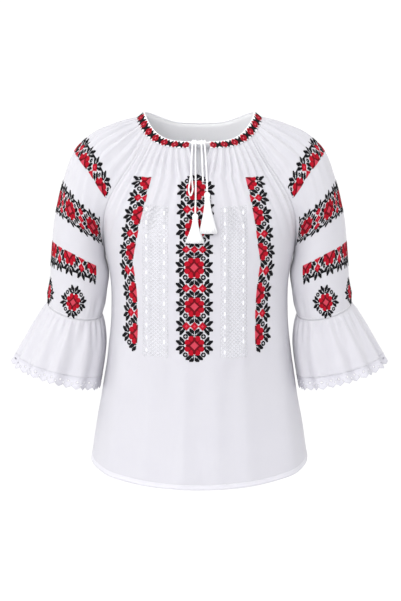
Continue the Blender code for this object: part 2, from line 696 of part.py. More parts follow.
def build_band(material):
    """Build the neck band from one end of the slit round to the other."""
    angles = np.linspace(SLIT_ANGLE, 360.0 - SLIT_ANGLE, BAND_COLUMNS + 1)
    lower = neck_curve(angles)
    down, out = neck_frame(angles)
    points = []
    for i in range(len(angles)):
        for place in reversed(BAND_SECTION):
            points.append(lower[i] - down[i] * place.along + out[i] * place.out)
    faces = sweep_faces(len(angles), len(BAND_SECTION))
    return add_object("neck_band", points, faces, material, smooth_angle=BAND_SMOOTH_ANGLE)


def build_knot(material):
    """Build the drawstring's knot, which lies between the band's ends."""
    points = []
    half = KNOT_RINGS[-1].x
    for ring in KNOT_RINGS:
        centre_y = KNOT_AXIS_Y - KNOT_BULGE * math.cos(math.pi / 2 * ring.x / half)
        for k in range(KNOT_SIDES):
            turn = 2 * math.pi * k / KNOT_SIDES
            points.append((ring.x, centre_y - ring.radius * math.sin(turn),
                           KNOT_AXIS_Z + ring.radius * math.cos(turn)))
    faces = sweep_faces(len(KNOT_RINGS), KNOT_SIDES)
    return add_object("tie_knot", points, faces, material)


def front_depth(heights):
    """Return how far forward the middle of the front lies at each height."""
    table = [(-(NECK_HALF_DEPTH - NECK_CENTRE_Y), NECK_SIDE_Z - NECK_FRONT_DROP)]
    table += [(row.front_y, row.front_z) for row in CHEST]
    table.sort(key=lambda row: row[1])
    return np.interp(heights, [row[1] for row in table], [row[0] for row in table])


def smooth_route(route):
    """Read evenly spaced points from a smooth curve through the route."""
    places = np.array([(p.x, float(front_depth(p.z)) - p.layer, p.z) for p in route])
    lengths = np.concatenate([[0.0], np.cumsum(np.linalg.norm(np.diff(places, axis=0), axis=1))])
    fine = loft(places[:, None, :], lengths, np.linspace(0.0, lengths[-1], CORD_FINE_POINTS))[:, 0]
    walked = np.concatenate([[0.0], np.cumsum(np.linalg.norm(np.diff(fine, axis=0), axis=1))])
    count = max(4, round(walked[-1] / CORD_STEP) + 1)
    even = np.linspace(0.0, walked[-1], count)
    return np.stack([np.interp(even, walked, fine[:, axis]) for axis in range(3)], axis=-1)


def build_cord(name, route, material):
    """Build one stretch of the drawstring as a round tube."""
    points = smooth_route(route)
    curve = bpy.data.curves.new(name, "CURVE")
    curve.dimensions = "3D"
    curve.bevel_depth = CORD_RADIUS * MM
    curve.bevel_resolution = CORD_SIDES_LEVEL
    curve.use_fill_caps = True
    spline = curve.splines.new("POLY")
    spline.points.add(len(points) - 1)
    for knot, point in zip(spline.points, points):
        knot.co = (*(MM * point), 1.0)
    curve.materials.append(material)
    item = bpy.data.objects.new(name, curve)
    bpy.context.scene.collection.objects.link(item)
    return item


def build_tassel(name, tassel, material):
    """Build a tassel: a turned head whose lower face grows into strands."""
    mesh = bmesh.new()
    top_y = float(front_depth(tassel.top_z)) - tassel.layer
    foot_z = tassel.top_z - tassel.length
    foot_y = float(front_depth(foot_z)) - tassel.layer
    lean = Vector((tassel.bottom_x - tassel.x, foot_y - top_y, foot_z - tassel.top_z))
    rings = [(row.down, row.radius) for row in TASSEL_HEAD]
    rings += [(TASSEL_HEAD[-1].down, TASSEL_HEAD[-1].radius * part) for part in TASSEL_RINGS]
    loops = []
    for down, radius in rings:
        centre = Vector((tassel.x, top_y, tassel.top_z)) + lean * (down / tassel.length)
        loops.append([
            mesh.verts.new(centre + Vector((radius * math.cos(2 * math.pi * k / TASSEL_SIDES),
                                            radius * math.sin(2 * math.pi * k / TASSEL_SIDES), 0)))
            for k in range(TASSEL_SIDES)])
    mesh.faces.new(loops[0])
    roots = []
    for upper, lower in zip(loops, loops[1:]):
        for k in range(TASSEL_SIDES):
            n = (k + 1) % TASSEL_SIDES
            face = mesh.faces.new((upper[k], lower[k], lower[n], upper[n]))
            if upper is loops[len(TASSEL_HEAD) - 1] or upper is loops[len(TASSEL_HEAD)]:
                roots.append(face)
    mesh.faces.new(list(reversed(loops[-1])))
    bmesh.ops.recalc_face_normals(mesh, faces=mesh.faces)
    bmesh.ops.inset_individual(mesh, faces=roots, thickness=STRAND_INSET, use_even_offset=True)
    grown = bmesh.ops.extrude_discrete_faces(mesh, faces=roots)["faces"]
    axis_x = tassel.x + lean.x * TASSEL_HEAD[-1].down / tassel.length
    axis_y = top_y + lean.y * TASSEL_HEAD[-1].down / tassel.length
    for number, face in enumerate(grown):
        middle = face.calc_center_median()
        out_x = (middle.x - axis_x) / TASSEL_HEAD[-1].radius
        out_y = (middle.y - axis_y) / TASSEL_HEAD[-1].radius
        reach = math.hypot(out_x, out_y)
        across = reach * (1 - 2 * math.atan2(abs(out_y), out_x) / math.pi)
        target = Vector((tassel.bottom_x + across * tassel.spread,
                         foot_y + out_y * tassel.spread * SKIRT_FLATNESS,
                         foot_z + STRAND_STAGGER * (number % 3)))
        for vertex in face.verts:
            vertex.co = target + (vertex.co - middle) * STRAND_SHARE
    bmesh.ops.scale(mesh, vec=(MM, MM, MM), verts=mesh.verts)
    bmesh.ops.triangulate(mesh, faces=mesh.faces)
    data = bpy.data.meshes.new(name)
    mesh.to_mesh(data)
    mesh.free()
    data.materials.append(material)
    item = bpy.data.objects.new(name, data)
    bpy.context.scene.collection.objects.link(item)
    return item


def main():
    """Build the whole blouse."""
    clear_scene()
    cut = Cut()
    body_parts = (("front", True, FRONT_FOLDS), ("back", False, BACK_FOLDS))
    for name, front, folds in body_parts:
        build_body(cut, name, front, folds, make_material(f"{name} cotton", WHITE_COTTON))
    for side, left in (("left", True), ("right", False)):
        cotton = make_material(f"sleeve {side} cotton", WHITE_COTTON)
        build_sleeve(cut, f"sleeve_{side}", left, cotton)
        flounce = make_material(f"flounce {side} cotton", WHITE_COTTON)
        build_flounce(f"flounce_{side}", left, flounce)
        for half, front in (("front", True), ("back", False)):
            lace = make_material(f"lace {side} {half}", WHITE_LACE)
            build_lace(f"lace_{side}_{half}", left, front, lace)
    build_band(make_material("stitched band", RED_STITCHED))
    build_knot(make_material("knot cotton", WHITE_CORD))
    cords = (
        ("cord_end_left", CORD_END_LEFT),
        ("cord_end_right", CORD_END_RIGHT),
        ("cord_loop_left", CORD_LOOP_LEFT),
        ("cord_loop_right", CORD_LOOP_RIGHT),
    )
    for name, route in cords:
        build_cord(name, route, make_material(f"{name} cotton", WHITE_CORD))
    for name, tassel in TASSELS.items():
        build_tassel(name, tassel, make_material(f"{name} cotton", WHITE_CORD))


if __name__ == "__main__":
    main()
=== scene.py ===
"""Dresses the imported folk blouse: gathered cotton, cross-stitch, lace, drawstring and tassels.

Shapes are worked out in millimetres in the blouse's own frame and turned to metres once, where
a mesh is made. A panel's points are named by share, across it from -1 to 1, and run, along it.
"""
import functools
import math
from collections import namedtuple

import bpy
import mathutils
import numpy as np
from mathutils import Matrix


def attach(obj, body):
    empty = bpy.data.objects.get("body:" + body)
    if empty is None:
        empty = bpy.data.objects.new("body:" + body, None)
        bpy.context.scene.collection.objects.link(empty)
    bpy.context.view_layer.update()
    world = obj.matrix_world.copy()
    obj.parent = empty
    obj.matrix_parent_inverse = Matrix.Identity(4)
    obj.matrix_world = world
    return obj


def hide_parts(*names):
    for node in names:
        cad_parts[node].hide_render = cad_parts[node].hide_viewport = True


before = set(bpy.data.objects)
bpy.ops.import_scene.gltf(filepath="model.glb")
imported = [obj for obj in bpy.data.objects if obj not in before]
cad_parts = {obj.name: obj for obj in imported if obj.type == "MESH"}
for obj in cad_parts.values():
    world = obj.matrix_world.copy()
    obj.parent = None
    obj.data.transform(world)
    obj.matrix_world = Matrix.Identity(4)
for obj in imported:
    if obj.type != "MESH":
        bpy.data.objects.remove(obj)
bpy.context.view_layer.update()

bl_info = {
    "name": "Folk blouse finish",
    "version": (1, 0, 0),
    "blender": (4, 5, 0),
    "location": "3D View > Sidebar > Blouse",
    "description": "Cotton, stitching, lace and cord for the folk blouse",
    "category": "Object",
}

MM = 0.001

# The cut, as the solids have it
SIDE_Y = -4.0
NECK_HALF_WIDTH = 104.0
NECK_HALF_DEPTH = 77.0
NECK_CENTRE_Y = -5.0
NECK_SIDE_Z = -8.0
NECK_FRONT_DROP = 50.5
NECK_BACK_DROP = 17.0
NECK_BACK_SHAPE = 2.2
BAND_INSET = 12.0
BAND_RISE = 10.0
RAGLAN_ANGLE = 57.8
SLIT_ANGLE = 9.7
SLIT_RUN = 76.0
SLIT_SHAPE = 0.8
UNDERARM_RUN = 226.0
UNDERARM_BLEND = 14.0
UNDERARM_CLEARANCE = 1.5
HEM_TURN = 8.0
HEM_RUN = 575.0
ELBOW_RUN = 328.0
ELBOW_BLEND = 10.0
SEAM_BLEND = 0.88
FLOUNCE_END = 426.0
LACE_END = 446.0
LACE_REPEATS = 32
FLOUNCE_WAVES = 12
WAVE_HEIGHT = 5.0
CALM_NEAR_BODY = 0.85

Shoulder = namedtuple(
    "Shoulder", "run seam_x front_z back_z outer_x outer_z half_depth turn")
SHOULDER = (
    Shoulder(48, 110.0, -79, -62, 142.5, -20.0, 66, 66),
    Shoulder(86, 131.0, -111, -98, 181.5, -37.5, 70, 76),
    Shoulder(117, 147.0, -138, -129, 211.0, -66.0, 69, 92),
    Shoulder(146, 157.0, -165, -160, 229.5, -114.0, 66, 116),
    Shoulder(177, 161.0, -195, -193, 239.5, -152.0, 63, 144),
    Shoulder(226, 158.0, -243, -243, 247.0, -200.0, 61, 180),
    Shoulder(252, 152.7, -268, -268, 250.5, -243.0, 60, 180),
)
Chest = namedtuple("Chest", "run front_y front_z back_y back_z turn")
CHEST = (
    Chest(48, -97, -84, 90, -62, 56),
    Chest(86, -111, -117, 100, -97, 58),
    Chest(117, -119, -148, 106, -129, 62),
    Chest(146, -123, -178, 109, -161, 70),
    Chest(177, -126, -211, 109, -195, 79),
    Chest(226, -126, -255, 106, -243, 90),
    Chest(252, -126, -285, 103, -272, 90),
)
Skirt = namedtuple("Skirt", "run side_x side_z front_y front_z back_y back_z")
SKIRT = (
    Skirt(287, 149.3, -303, -124, -320, 100, -308),
    Skirt(324, 149.0, -340, -121, -358, 98, -346),
    Skirt(378, 153.5, -393, -118, -412, 99, -402),
    Skirt(458, 164.7, -470, -119, -497, 106, -490),
    Skirt(511, 174.0, -522, -124, -556, 114, -549),
    Skirt(575, 183.5, -584, -130, -622, 121, -616),
)
Arm = namedtuple("Arm", "run inner_x inner_z outer_x outer_z half_depth front_drop")
ARM = (
    Arm(285, 156.5, -300, 253.0, -283.0, 58, 6),
    Arm(328, 165.5, -341, 257.5, -320.0, 53, 14),
)
FLOUNCE = (
    Arm(328, 165.5, -341, 257.5, -320.0, 53, 14),
    Arm(356, 161.0, -365, 275.5, -350.0, 59, 14),
    Arm(388, 159.5, -394, 292.5, -381.0, 66, 11),
    Arm(426, 166.5, -444, 307.0, -410.0, 72, 8),
    Arm(446, 170.5, -465, 314.5, -425.0, 74, 8),
)
Fold = namedtuple("Fold", "place width height top bottom lean")
FRONT_FOLDS = (
    Fold(-0.62, 0.10, 3.0, 250, 560, 0.06),
    Fold(-0.34, 0.08, 2.0, 330, 570, 0.02),
    Fold(-0.10, 0.06, 2.6, 320, 575, 0.00),
    Fold(0.10, 0.06, 2.2, 330, 570, 0.01),
    Fold(0.30, 0.07, 2.4, 300, 560, -0.02),
    Fold(0.66, 0.10, 3.2, 240, 560, -0.05),
)
BACK_FOLDS = (
    Fold(-0.60, 0.10, 3.0, 240, 560, 0.05),
    Fold(-0.22, 0.09, 2.4, 280, 570, 0.02),
    Fold(0.20, 0.08, 2.8, 260, 570, 0.00),
    Fold(0.58, 0.10, 3.0, 250, 560, -0.04),
)
Gather = namedtuple("Gather", "run height")
NECK_GATHERS = (
    Gather(0, 0.45), Gather(14, 1.5), Gather(50, 2.4), Gather(106, 1.6), Gather(190, 0.0))
ELBOW_GATHERS = (Gather(285, 0.0), Gather(308, 1.3), Gather(328, 0.0))
FLOUNCE_GATHERS = (Gather(328, 0.0), Gather(338, 1.4), Gather(392, 0.0))
FLOUNCE_WAVE = (Gather(328, 0.0), Gather(362, 0.45), Gather(426, 1.0), Gather(446, 1.1))


def unit(vectors):
    """Vectors at length one."""
    return vectors / np.maximum(np.linalg.norm(vectors, axis=-1, keepdims=True), 1e-9)


def lengths_along(points):
    """How far each point of a line, or of each row of a grid, lies from the first one."""
    steps = np.linalg.norm(np.diff(points, axis=-2), axis=-1)
    return np.concatenate([np.zeros_like(steps[..., :1]), np.cumsum(steps, axis=-1)], axis=-1)


def ease(value):
    """A cubic from 0 to 1 with level ends."""
    value = np.clip(value, 0.0, 1.0)
    return value * value * (3.0 - 2.0 * value)


def height_along(table, run):
    """A gather's height, read between the table's rows."""
    return np.interp(run, [row.run for row in table], [row.height for row in table])


def loft(knots, sections, run):
    """A cubic through matching points of the sections, with three-point slopes at each."""
    knots = np.asarray(knots, dtype=float)
    gaps = np.diff(knots)[:, None, None]
    chords = np.diff(sections, axis=0) / gaps
    slopes = np.empty_like(sections)
    slopes[0] = chords[0]
    slopes[-1] = chords[-1]
    slopes[1:-1] = (chords[:-1] * gaps[1:] + chords[1:] * gaps[:-1]) / (gaps[1:] + gaps[:-1])
    low = np.clip(np.searchsorted(knots, run, side="right") - 1, 0, len(knots) - 2)
    pick = np.arange(len(run))
    gap = np.diff(knots)[low][:, None]
    t = (run - knots[low])[:, None] / gap
    start = (1 + 2 * t) * (1 - t) ** 2 * sections[low, pick]
    start += t * (1 - t) ** 2 * gap * slopes[low, pick]
    end = t * t * (3 - 2 * t) * sections[low + 1, pick]
    return start + end + t * t * (t - 1) * gap * slopes[low + 1, pick]


def turns(sides):
    """Even angles once round, in radians."""
    return np.linspace(0.0, 2 * np.pi, sides, endpoint=False)


def neck_curve(angles, inner=0.0):
    """The neck's ellipse, dropped in front and behind: angle 0 is the front middle."""
    angles = np.radians(np.asarray(angles, dtype=float))
    cosine = np.cos(angles)
    front_drop = NECK_FRONT_DROP * ease(cosine)
    back_drop = NECK_BACK_DROP * ease(np.abs(cosine) ** NECK_BACK_SHAPE)
    drop = np.where(cosine > 0, front_drop, back_drop)
    x = (NECK_HALF_WIDTH - inner * BAND_INSET) * np.sin(angles)
    y = NECK_CENTRE_Y - (NECK_HALF_DEPTH - inner * BAND_INSET) * cosine
    z = NECK_SIDE_Z - drop + inner * BAND_RISE
    return np.stack([x, y, z], axis=-1)


def neck_frame(angles):
    """The way down the band and the way out of it, at each angle."""
    step = 0.5
    along = unit(neck_curve(angles + step) - neck_curve(angles - step))
    down = unit(neck_curve(angles) - neck_curve(angles, inner=1.0))
    return down, unit(np.cross(down, along))


def body_arc(side, middle, turn, share):
    """An arc of an ellipse from the panel's middle to the side point."""
    angle = np.radians(turn) * share
    end = math.radians(turn)
    weight = (np.cos(angle) - math.cos(end)) / (1 - math.cos(end))
    y = side[1] + (middle[0] - side[1]) * weight
    z = side[2] + (middle[1] - side[2]) * weight
    return np.stack([side[0] * np.sin(angle) / math.sin(end), y, z], axis=-1)


def sleeve_arc(front, back, outer, half_depth, turn, front_drop, share):
    """An arc of an ellipse round the arm from the front seam (-1) to the back seam (1)."""
    angle = np.radians(turn) * share
    cosine = np.cos(angle)
    end = math.cos(math.radians(turn))
    seam = np.where((share < 0)[:, None], np.asarray(front), np.asarray(back))
    middle = (seam - np.asarray(outer) * end) / (1 - end)
    flat = middle + (np.asarray(outer) - middle) * cosine[:, None]
    y = SIDE_Y + half_depth * np.sin(angle)
    z = flat[:, 1] + front_drop * np.sin(angle)
    return np.stack([flat[:, 0], y, z], axis=-1)


def arm_ring(row, share):
    """One whole ring of the sleeve or the flounce."""
    inner = (row.inner_x, row.inner_z)
    outer = (row.outer_x, row.outer_z)
    return sleeve_arc(inner, inner, outer, row.half_depth, 180.0, row.front_drop, share)


def raglan_point(row, front):
    """The raglan seam's place on one row, from the sleeve's section."""
    half = row.half_depth * math.sin(math.radians(row.turn))
    y = SIDE_Y - half if front else SIDE_Y + half
    return (row.seam_x, y, row.front_z if front else row.back_z)


def slit_share(share, run):
    """The share once the slit has moved the columns aside, less and less down to its foot."""
    left = np.clip(1 - run / SLIT_RUN, 0.0, None) ** SLIT_SHAPE
    opened = SLIT_ANGLE / RAGLAN_ANGLE * left
    return opened + (1 - opened) * share


def kept_clear(run):
    """How much of the room under the arm is kept: none above it, all just below it."""
    return ease((run - UNDERARM_RUN) / UNDERARM_BLEND + 1.0)


def panel_place(share, run, front):
    """The front's or back's middle surface: neck curve, chest arcs and skirt arcs, lofted."""
    side = np.where(share < 0, -1.0, 1.0)
    placed = np.abs(share)
    if front:
        placed = slit_share(placed, run)
    sections = [neck_curve(RAGLAN_ANGLE * placed if front else 180.0 - RAGLAN_ANGLE * placed)]
    for seam, chest in zip(SHOULDER, CHEST):
        middle = (chest.front_y, chest.front_z) if front else (chest.back_y, chest.back_z)
        sections.append(body_arc(raglan_point(seam, front), middle, chest.turn, placed))
    for row in SKIRT:
        middle = (row.front_y, row.front_z) if front else (row.back_y, row.back_z)
        sections.append(body_arc((row.side_x, SIDE_Y, row.side_z), middle, 90.0, placed))
    knots = [0.0] + [row.run for row in CHEST] + [row.run for row in SKIRT]
    points = loft(knots, np.array(sections), run)
    fade = 1.0 - ease((run - 260.0) / 60.0)
    points[:, 0] -= UNDERARM_CLEARANCE * placed ** 6 * kept_clear(run) * fade
    points[:, 0] *= side
    return points


def front_place(share, run):
    """The front's middle surface."""
    return panel_place(share, run, True)


def back_place(share, run):
    """The back's middle surface, counted from the viewer's right so that it faces out."""
    return panel_place(-share, run, False)


def sleeve_place(share, run):
    """The right sleeve's middle surface: neck curve, shoulder arcs and arm rings, lofted."""
    sections = [neck_curve(90.0 + (90.0 - RAGLAN_ANGLE) * share)]
    for row in SHOULDER:
        front = (row.seam_x, row.front_z)
        back = (row.seam_x, row.back_z)
        outer = (row.outer_x, row.outer_z)
        sections.append(sleeve_arc(front, back, outer, row.half_depth, row.turn, 0.0, share))
    sections += [arm_ring(row, share) for row in ARM]
    knots = [0.0] + [row.run for row in SHOULDER] + [row.run for row in ARM]
    points = loft(knots, np.array(sections), run)
    near = ((1.0 - np.cos(np.pi * share)) / 2) ** 3
    fade = 1.0 - 0.5 * ease((run - 260.0) / 60.0)
    points[:, 0] += UNDERARM_CLEARANCE * near * kept_clear(run) * fade
    return points


def flounce_place(share, run):
    """The right flounce's and lace's middle surface: rings, lofted."""
    return loft([row.run for row in FLOUNCE],
                np.array([arm_ring(row, share) for row in FLOUNCE]), run)


def facing(place, share, run):
    """Normals from the slopes of a surface, down crossed with across."""
    across = place(share + 0.005, run) - place(share - 0.005, run)
    down = place(share, run + 0.5) - place(share, run - 0.5)
    return unit(np.cross(down, across))


def seam_facing(place, share, run):
    """Normals that the two panels share along a raglan seam, so that their walls meet there."""
    edge = np.ones_like(share)
    at_front = facing(front_place, edge, run) + facing(sleeve_place, -edge, run)
    at_back = facing(back_place, -edge, run) + facing(sleeve_place, edge, run)
    if place is sleeve_place:
        shared = np.where((share < 0)[:, None], at_front, at_back)
    else:
        shared = at_front if place is front_place else at_back
        left = (share < 0) == (place is front_place)
        shared = np.where(left[:, None], shared * (-1.0, 1.0, 1.0), shared)
    near = ease((np.abs(share) - SEAM_BLEND) / (1.0 - SEAM_BLEND)) * (1.0 - kept_clear(run))
    own = facing(place, share, run)
    return unit(own + (unit(shared) - own) * near[:, None])


def elbow_facing(normals, share, run):
    """Normals turned to those that the sleeve and the flounce share at the elbow seam."""
    level = np.full_like(run, ELBOW_RUN)
    shared = unit(facing(sleeve_place, share, level) + facing(flounce_place, share, level))
    near = 1.0 - ease(np.abs(run - ELBOW_RUN) / ELBOW_BLEND)
    return unit(normals + (shared - normals) * near[:, None])


def uneven(share, seed):
    """A repeatable wander between about -1 and 1, the same at shares -1 and 1."""
    turn = np.pi * share
    return (np.sin(3 * turn + seed) + np.sin(7 * turn + 2.3 * seed)
            + np.sin(11 * turn + 0.7 * seed)) / 3.0


def ridges(share, run, count, seed):
    """Gathers as ridges with uneven heights and wandering crests, finer near their seam."""
    drift = 0.8 * uneven(share, seed) + 0.3 * np.sin(run / 31.0 + seed) * uneven(share, seed + 2)
    main = np.cos(np.pi * count * share + drift)
    strength = 1.0 + 0.45 * uneven(share, seed + 4.0)
    fine = np.cos(np.pi * 2.5 * count * share + 1.5 * uneven(share, seed + 9.0))
    return main * strength + 0.40 * fine * np.exp(-run / 38.0)


def fold_lift(folds, share, run):
    """Soft folds: bells across the panel that swell from their top downwards."""
    total = np.zeros_like(share)
    for fold in folds:
        along = (run - fold.top) / (fold.bottom - fold.top)
        swell = ease(along * 2.2) * ((along > 0.0) & (along < 1.15))
        place = fold.place + fold.lean * (along - 0.5)
        total += fold.height * swell * np.exp(-((share - place) / fold.width) ** 2)
    return total


def creases(share, run, seed):
    """Light rumples that slant across loose cloth."""
    slow = np.sin(run / 23.0 + 5.0 * share + seed) * np.sin(run / 61.0 - 3.0 * share + 2 * seed)
    small = np.sin(run / 9.5 + 11.0 * share + seed) * np.sin(run / 37.0 + 7.0 * share)
    return 0.45 * slow + 0.16 * small


def seam_valley(share, run):
    """How far the cloth dips along its sewn sides and into the elbow seam."""
    sides = np.exp(-((1.0 - np.abs(share)) / 0.016) ** 2)
    return -0.08 * sides - 0.15 * np.exp(-((run - ELBOW_RUN) / 2.0) ** 2)


def stitched_calm(share, run):
    """What is left of the gathers where dense stitching stiffens the front."""
    held = np.zeros_like(share)
    for centre, width in ((-0.60, 0.14), (-0.035, 0.30), (0.55, 0.14)):
        held = np.maximum(held, np.exp(-((share - centre) / width) ** 4))
    return 1.0 - 0.5 * held * ease((run - 66.0) / 24.0)


def dot_ridges(share, run):
    """Faint upright ridges under the lines of white dots."""
    total = np.zeros_like(share)
    for x in WHITE_PAIRS[0] + WHITE_PAIRS[1]:
        place = np.interp(run, RIDGE_RUNS, ridge_shares(x))
        total += np.exp(-((share - place) / 0.034) ** 2)
    return 1.1 * total * ease((run - 110.0) / 50.0) * (1.0 - ease((run - 350.0) / 90.0))


def front_lift(share, run):
    """Gathers, folds and rumples of the front."""
    lift = height_along(NECK_GATHERS, run) * ridges(share, run, 18, 1.7)
    lift *= stitched_calm(share, run) * ease((1.0 - np.abs(share)) / 0.07)
    loose = ease((run - 330.0) / 60.0)
    lift += dot_ridges(share, run)
    return lift + 1.4 * fold_lift(FRONT_FOLDS, share, run) + creases(share, run, 0.4) * loose


def back_lift(share, run):
    """Gathers, folds and rumples of the back."""
    lift = height_along(NECK_GATHERS, run) * ridges(share, run, 18, 5.2)
    lift *= ease((1.0 - np.abs(share)) / 0.07)
    loose = ease((run - 200.0) / 80.0)
    return lift + fold_lift(BACK_FOLDS, -share, run) + creases(share, run, 2.1) * loose


def sleeve_lift(share, run):
    """Gathers at the neck and at the elbow, with rumples between."""
    neck = height_along(NECK_GATHERS, run) * ridges(share, run, 12, 3.1)
    neck *= 1.0 - 0.5 * ease((run - 88.0) / 16.0)
    neck *= ease((1.0 - np.abs(share)) / 0.09)
    elbow = height_along(ELBOW_GATHERS, run) * ridges(share, ELBOW_RUN - run, 12, 7.7)
    loose = ease((run - 120.0) / 50.0) * ease((1.0 - np.abs(share)) / 0.3)
    return neck + elbow + 0.8 * creases(share, run, 1.2) * loose


def flounce_lift(share, run):
    """Waves that open towards the edge, under the gathers of the elbow seam."""
    near = (1.0 - np.cos(np.pi * share)) / 2
    free = 1.0 - CALM_NEAR_BODY * near ** 4
    wander = 0.5 * np.sin(2 * np.pi * share + 0.6) + 0.3 * np.sin(5 * np.pi * share)
    wave = WAVE_HEIGHT * free * np.cos(np.pi * FLOUNCE_WAVES * share + wander)
    wave *= 1.0 + 0.25 * np.sin(3 * np.pi * share + 1.0)
    gathers = height_along(FLOUNCE_GATHERS, run) * np.cos(24 * np.pi * share + 2.0 * wander)
    fine = 0.6 * np.cos(52 * np.pi * share + 3.0 * wander) * np.exp((ELBOW_RUN - run) / 14.0)
    fine *= ease((run - ELBOW_RUN) / 6.0)
    return height_along(FLOUNCE_WAVE, run) * wave + gathers + fine * free


Panel = namedtuple("Panel", "place lift sewn left")
FRONT = Panel(front_place, front_lift, True, False)
BACK = Panel(back_place, back_lift, True, False)
SLEEVES = {
    "left": Panel(sleeve_place, sleeve_lift, True, True),
    "right": Panel(sleeve_place, sleeve_lift, True, False),
}
FLOUNCES = {
    "left": Panel(flounce_place, flounce_lift, False, True),
    "right": Panel(flounce_place, flounce_lift, False, False),
}
SKIN = 0.8


def cloth_point(panel, share, run, out=0.0):
    """A panel's outer face and its normals: the middle surface, moved out by skin and folds."""
    shape = np.shape(share)
    share = np.ravel(share).astype(float)
    run = np.ravel(run).astype(float)
    normals = (seam_facing if panel.sewn else facing)(panel.place, share, run)
    if panel.place in (sleeve_place, flounce_place):
        normals = elbow_facing(normals, share, run)
    lift = panel.lift(share, run) + seam_valley(share if panel.sewn else 0.0, run)
    points = panel.place(share, run) + normals * (SKIN + out + lift)[:, None]
    if panel.left:
        points = points * (-1.0, 1.0, 1.0)
        normals = normals * (-1.0, 1.0, 1.0)
    return points.reshape(*shape, 3), normals.reshape(*shape, 3)


def make_mesh(name, points, faces, materials, numbers, uv, flat):
    """One mesh object from points in millimetres and groups of faces of one size each.

    For each face numbers gives its material and flat whether it is shaded flat.
    """
    mesh = bpy.data.meshes.new(name)
    points = np.asarray(points, dtype=np.float32).reshape(-1, 3) * np.float32(MM)
    groups = [np.asarray(group, dtype=np.int32) for group in faces if len(group)]
    sizes = np.concatenate([np.full(len(group), group.shape[1]) for group in groups])
    loops = np.concatenate([group.ravel() for group in groups])
    mesh.vertices.add(len(points))
    mesh.vertices.foreach_set("co", points.ravel())
    mesh.loops.add(len(loops))
    mesh.loops.foreach_set("vertex_index", loops)
    mesh.polygons.add(len(sizes))
    starts = np.concatenate([[0], np.cumsum(sizes)[:-1]]).astype(np.int32)
    mesh.polygons.foreach_set("loop_start", starts)
    mesh.polygons.foreach_set("material_index", np.asarray(numbers, dtype=np.int32))
    layer = mesh.uv_layers.new(name="cloth")
    layer.data.foreach_set("uv", np.asarray(uv, dtype=np.float32).ravel())
    for material in materials:
        mesh.materials.append(material)
    mesh.update(calc_edges=True)
    if mesh.validate():
        raise RuntimeError(f"{name}: the mesh had faults")
    mesh.polygons.foreach_set("use_smooth", ~flat)
    item = bpy.data.objects.new(name, mesh)
    bpy.context.scene.collection.objects.link(item)
    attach(item, "root")
    return item


def quads_of(ids):
    """Quads of a grid of vertex numbers, facing down crossed with across."""
    corners = (ids[:-1, :-1], ids[1:, :-1], ids[1:, 1:], ids[:-1, 1:])
    return np.stack(corners, axis=-1).reshape(-1, 4)


def rims_of(faces, count):
    """Quads that close two matching skins along each open edge of the first one."""
    start = faces.ravel().astype(np.int64)
    end = np.roll(faces, -1, axis=1).ravel().astype(np.int64)
    total = int(faces.max()) + 1
    lone = ~np.isin(start * total + end, end * total + start)
    a, b = start[lone], end[lone]
    return np.stack([b, a, a + count, b + count], axis=-1)


def make_wall(name, outer, inner, uv, quads, corners, materials, flip=False):
    """A closed wall between two skins on the same faces. corners number the faces' UV points.

    The inner skin takes the last of the materials.
    """
    if flip:
        quads = quads[:, ::-1]
        corners = corners[:, ::-1]
    used, packed = np.unique(quads, return_inverse=True)
    packed = packed.reshape(quads.shape)
    count = len(used)
    rims = rims_of(packed, count)
    points = np.concatenate([outer.reshape(-1, 3)[used], inner.reshape(-1, 3)[used]])
    places = uv.reshape(-1, 2)
    around = np.concatenate([places[corners.ravel()], places[corners[:, ::-1].ravel()],
                             np.zeros((len(rims) * 4, 2))])
    faces = [packed, packed[:, ::-1] + count, rims]
    numbers = np.zeros(2 * len(packed) + len(rims), dtype=int)
    numbers[len(packed):2 * len(packed)] = len(materials) - 1
    flat = np.arange(len(numbers)) >= 2 * len(packed)
    return make_mesh(name, points, faces, materials, numbers, around, flat)


def flat_lengths(points):
    """How far along its row each point of a grid lies, from the row's middle, in metres."""
    along = lengths_along(points)
    return (along - along[:, -1:] / 2) * MM


def make_panel(name, panel, shares, runs, wall, materials, split=None, joined=None):
    """A panel of cloth. split is its last slit row; joined is the first row of its tube part."""
    across, down = np.meshgrid(shares, runs)
    outer, normals = cloth_point(panel, across, down)
    uv = np.stack([flat_lengths(outer), down * MM], axis=-1)
    numbers = np.arange(across.size).reshape(across.shape)
    ids = numbers.copy()
    if joined is not None:
        ids[runs >= joined, -1] = ids[runs >= joined, 0]
    parts = [slice(None)]
    if split is not None:
        half = len(shares) // 2
        ids[runs >= split, half] = ids[runs >= split, half - 1]
        parts = [slice(None, half), slice(half, None)]
    quads = np.concatenate([quads_of(ids[:, part]) for part in parts])
    corners = np.concatenate([quads_of(numbers[:, part]) for part in parts])
    return make_wall(name, outer, outer - normals * wall, uv, quads, corners, materials,
                     flip=panel.left)


def rows_between(*stops):
    """Runs in steps that change at each stop, from pairs of a run and the step after it."""
    parts = []
    for (start, step), (end, _) in zip(stops[:-1], stops[1:]):
        parts.append(np.linspace(start, end, max(2, round((end - start) / step) + 1))[:-1])
    return np.concatenate(parts + [[stops[-1][0]]])


def linear(hex_colour):
    """A linear opaque colour from an sRGB hex value."""
    parts = [int(hex_colour[i:i + 2], 16) / 255 for i in (1, 3, 5)]
    shades = [p / 12.92 if p <= 0.04045 else ((p + 0.055) / 1.055) ** 2.4 for p in parts]
    return (*shades, 1.0)


def add_node(tree, kind, values=None, links=None, **settings):
    """Adds a node, sets its properties and input values, and links its inputs."""
    node = tree.nodes.new(kind)
    for name, value in settings.items():
        setattr(node, name, value)
    for name, value in (values or {}).items():
        node.inputs[name].default_value = value
    for name, source in (links or {}).items():
        tree.links.new(source, node.inputs[name])
    return node


CLOUDY_SHADE = (0.955, 0.955, 0.965, 1.0)


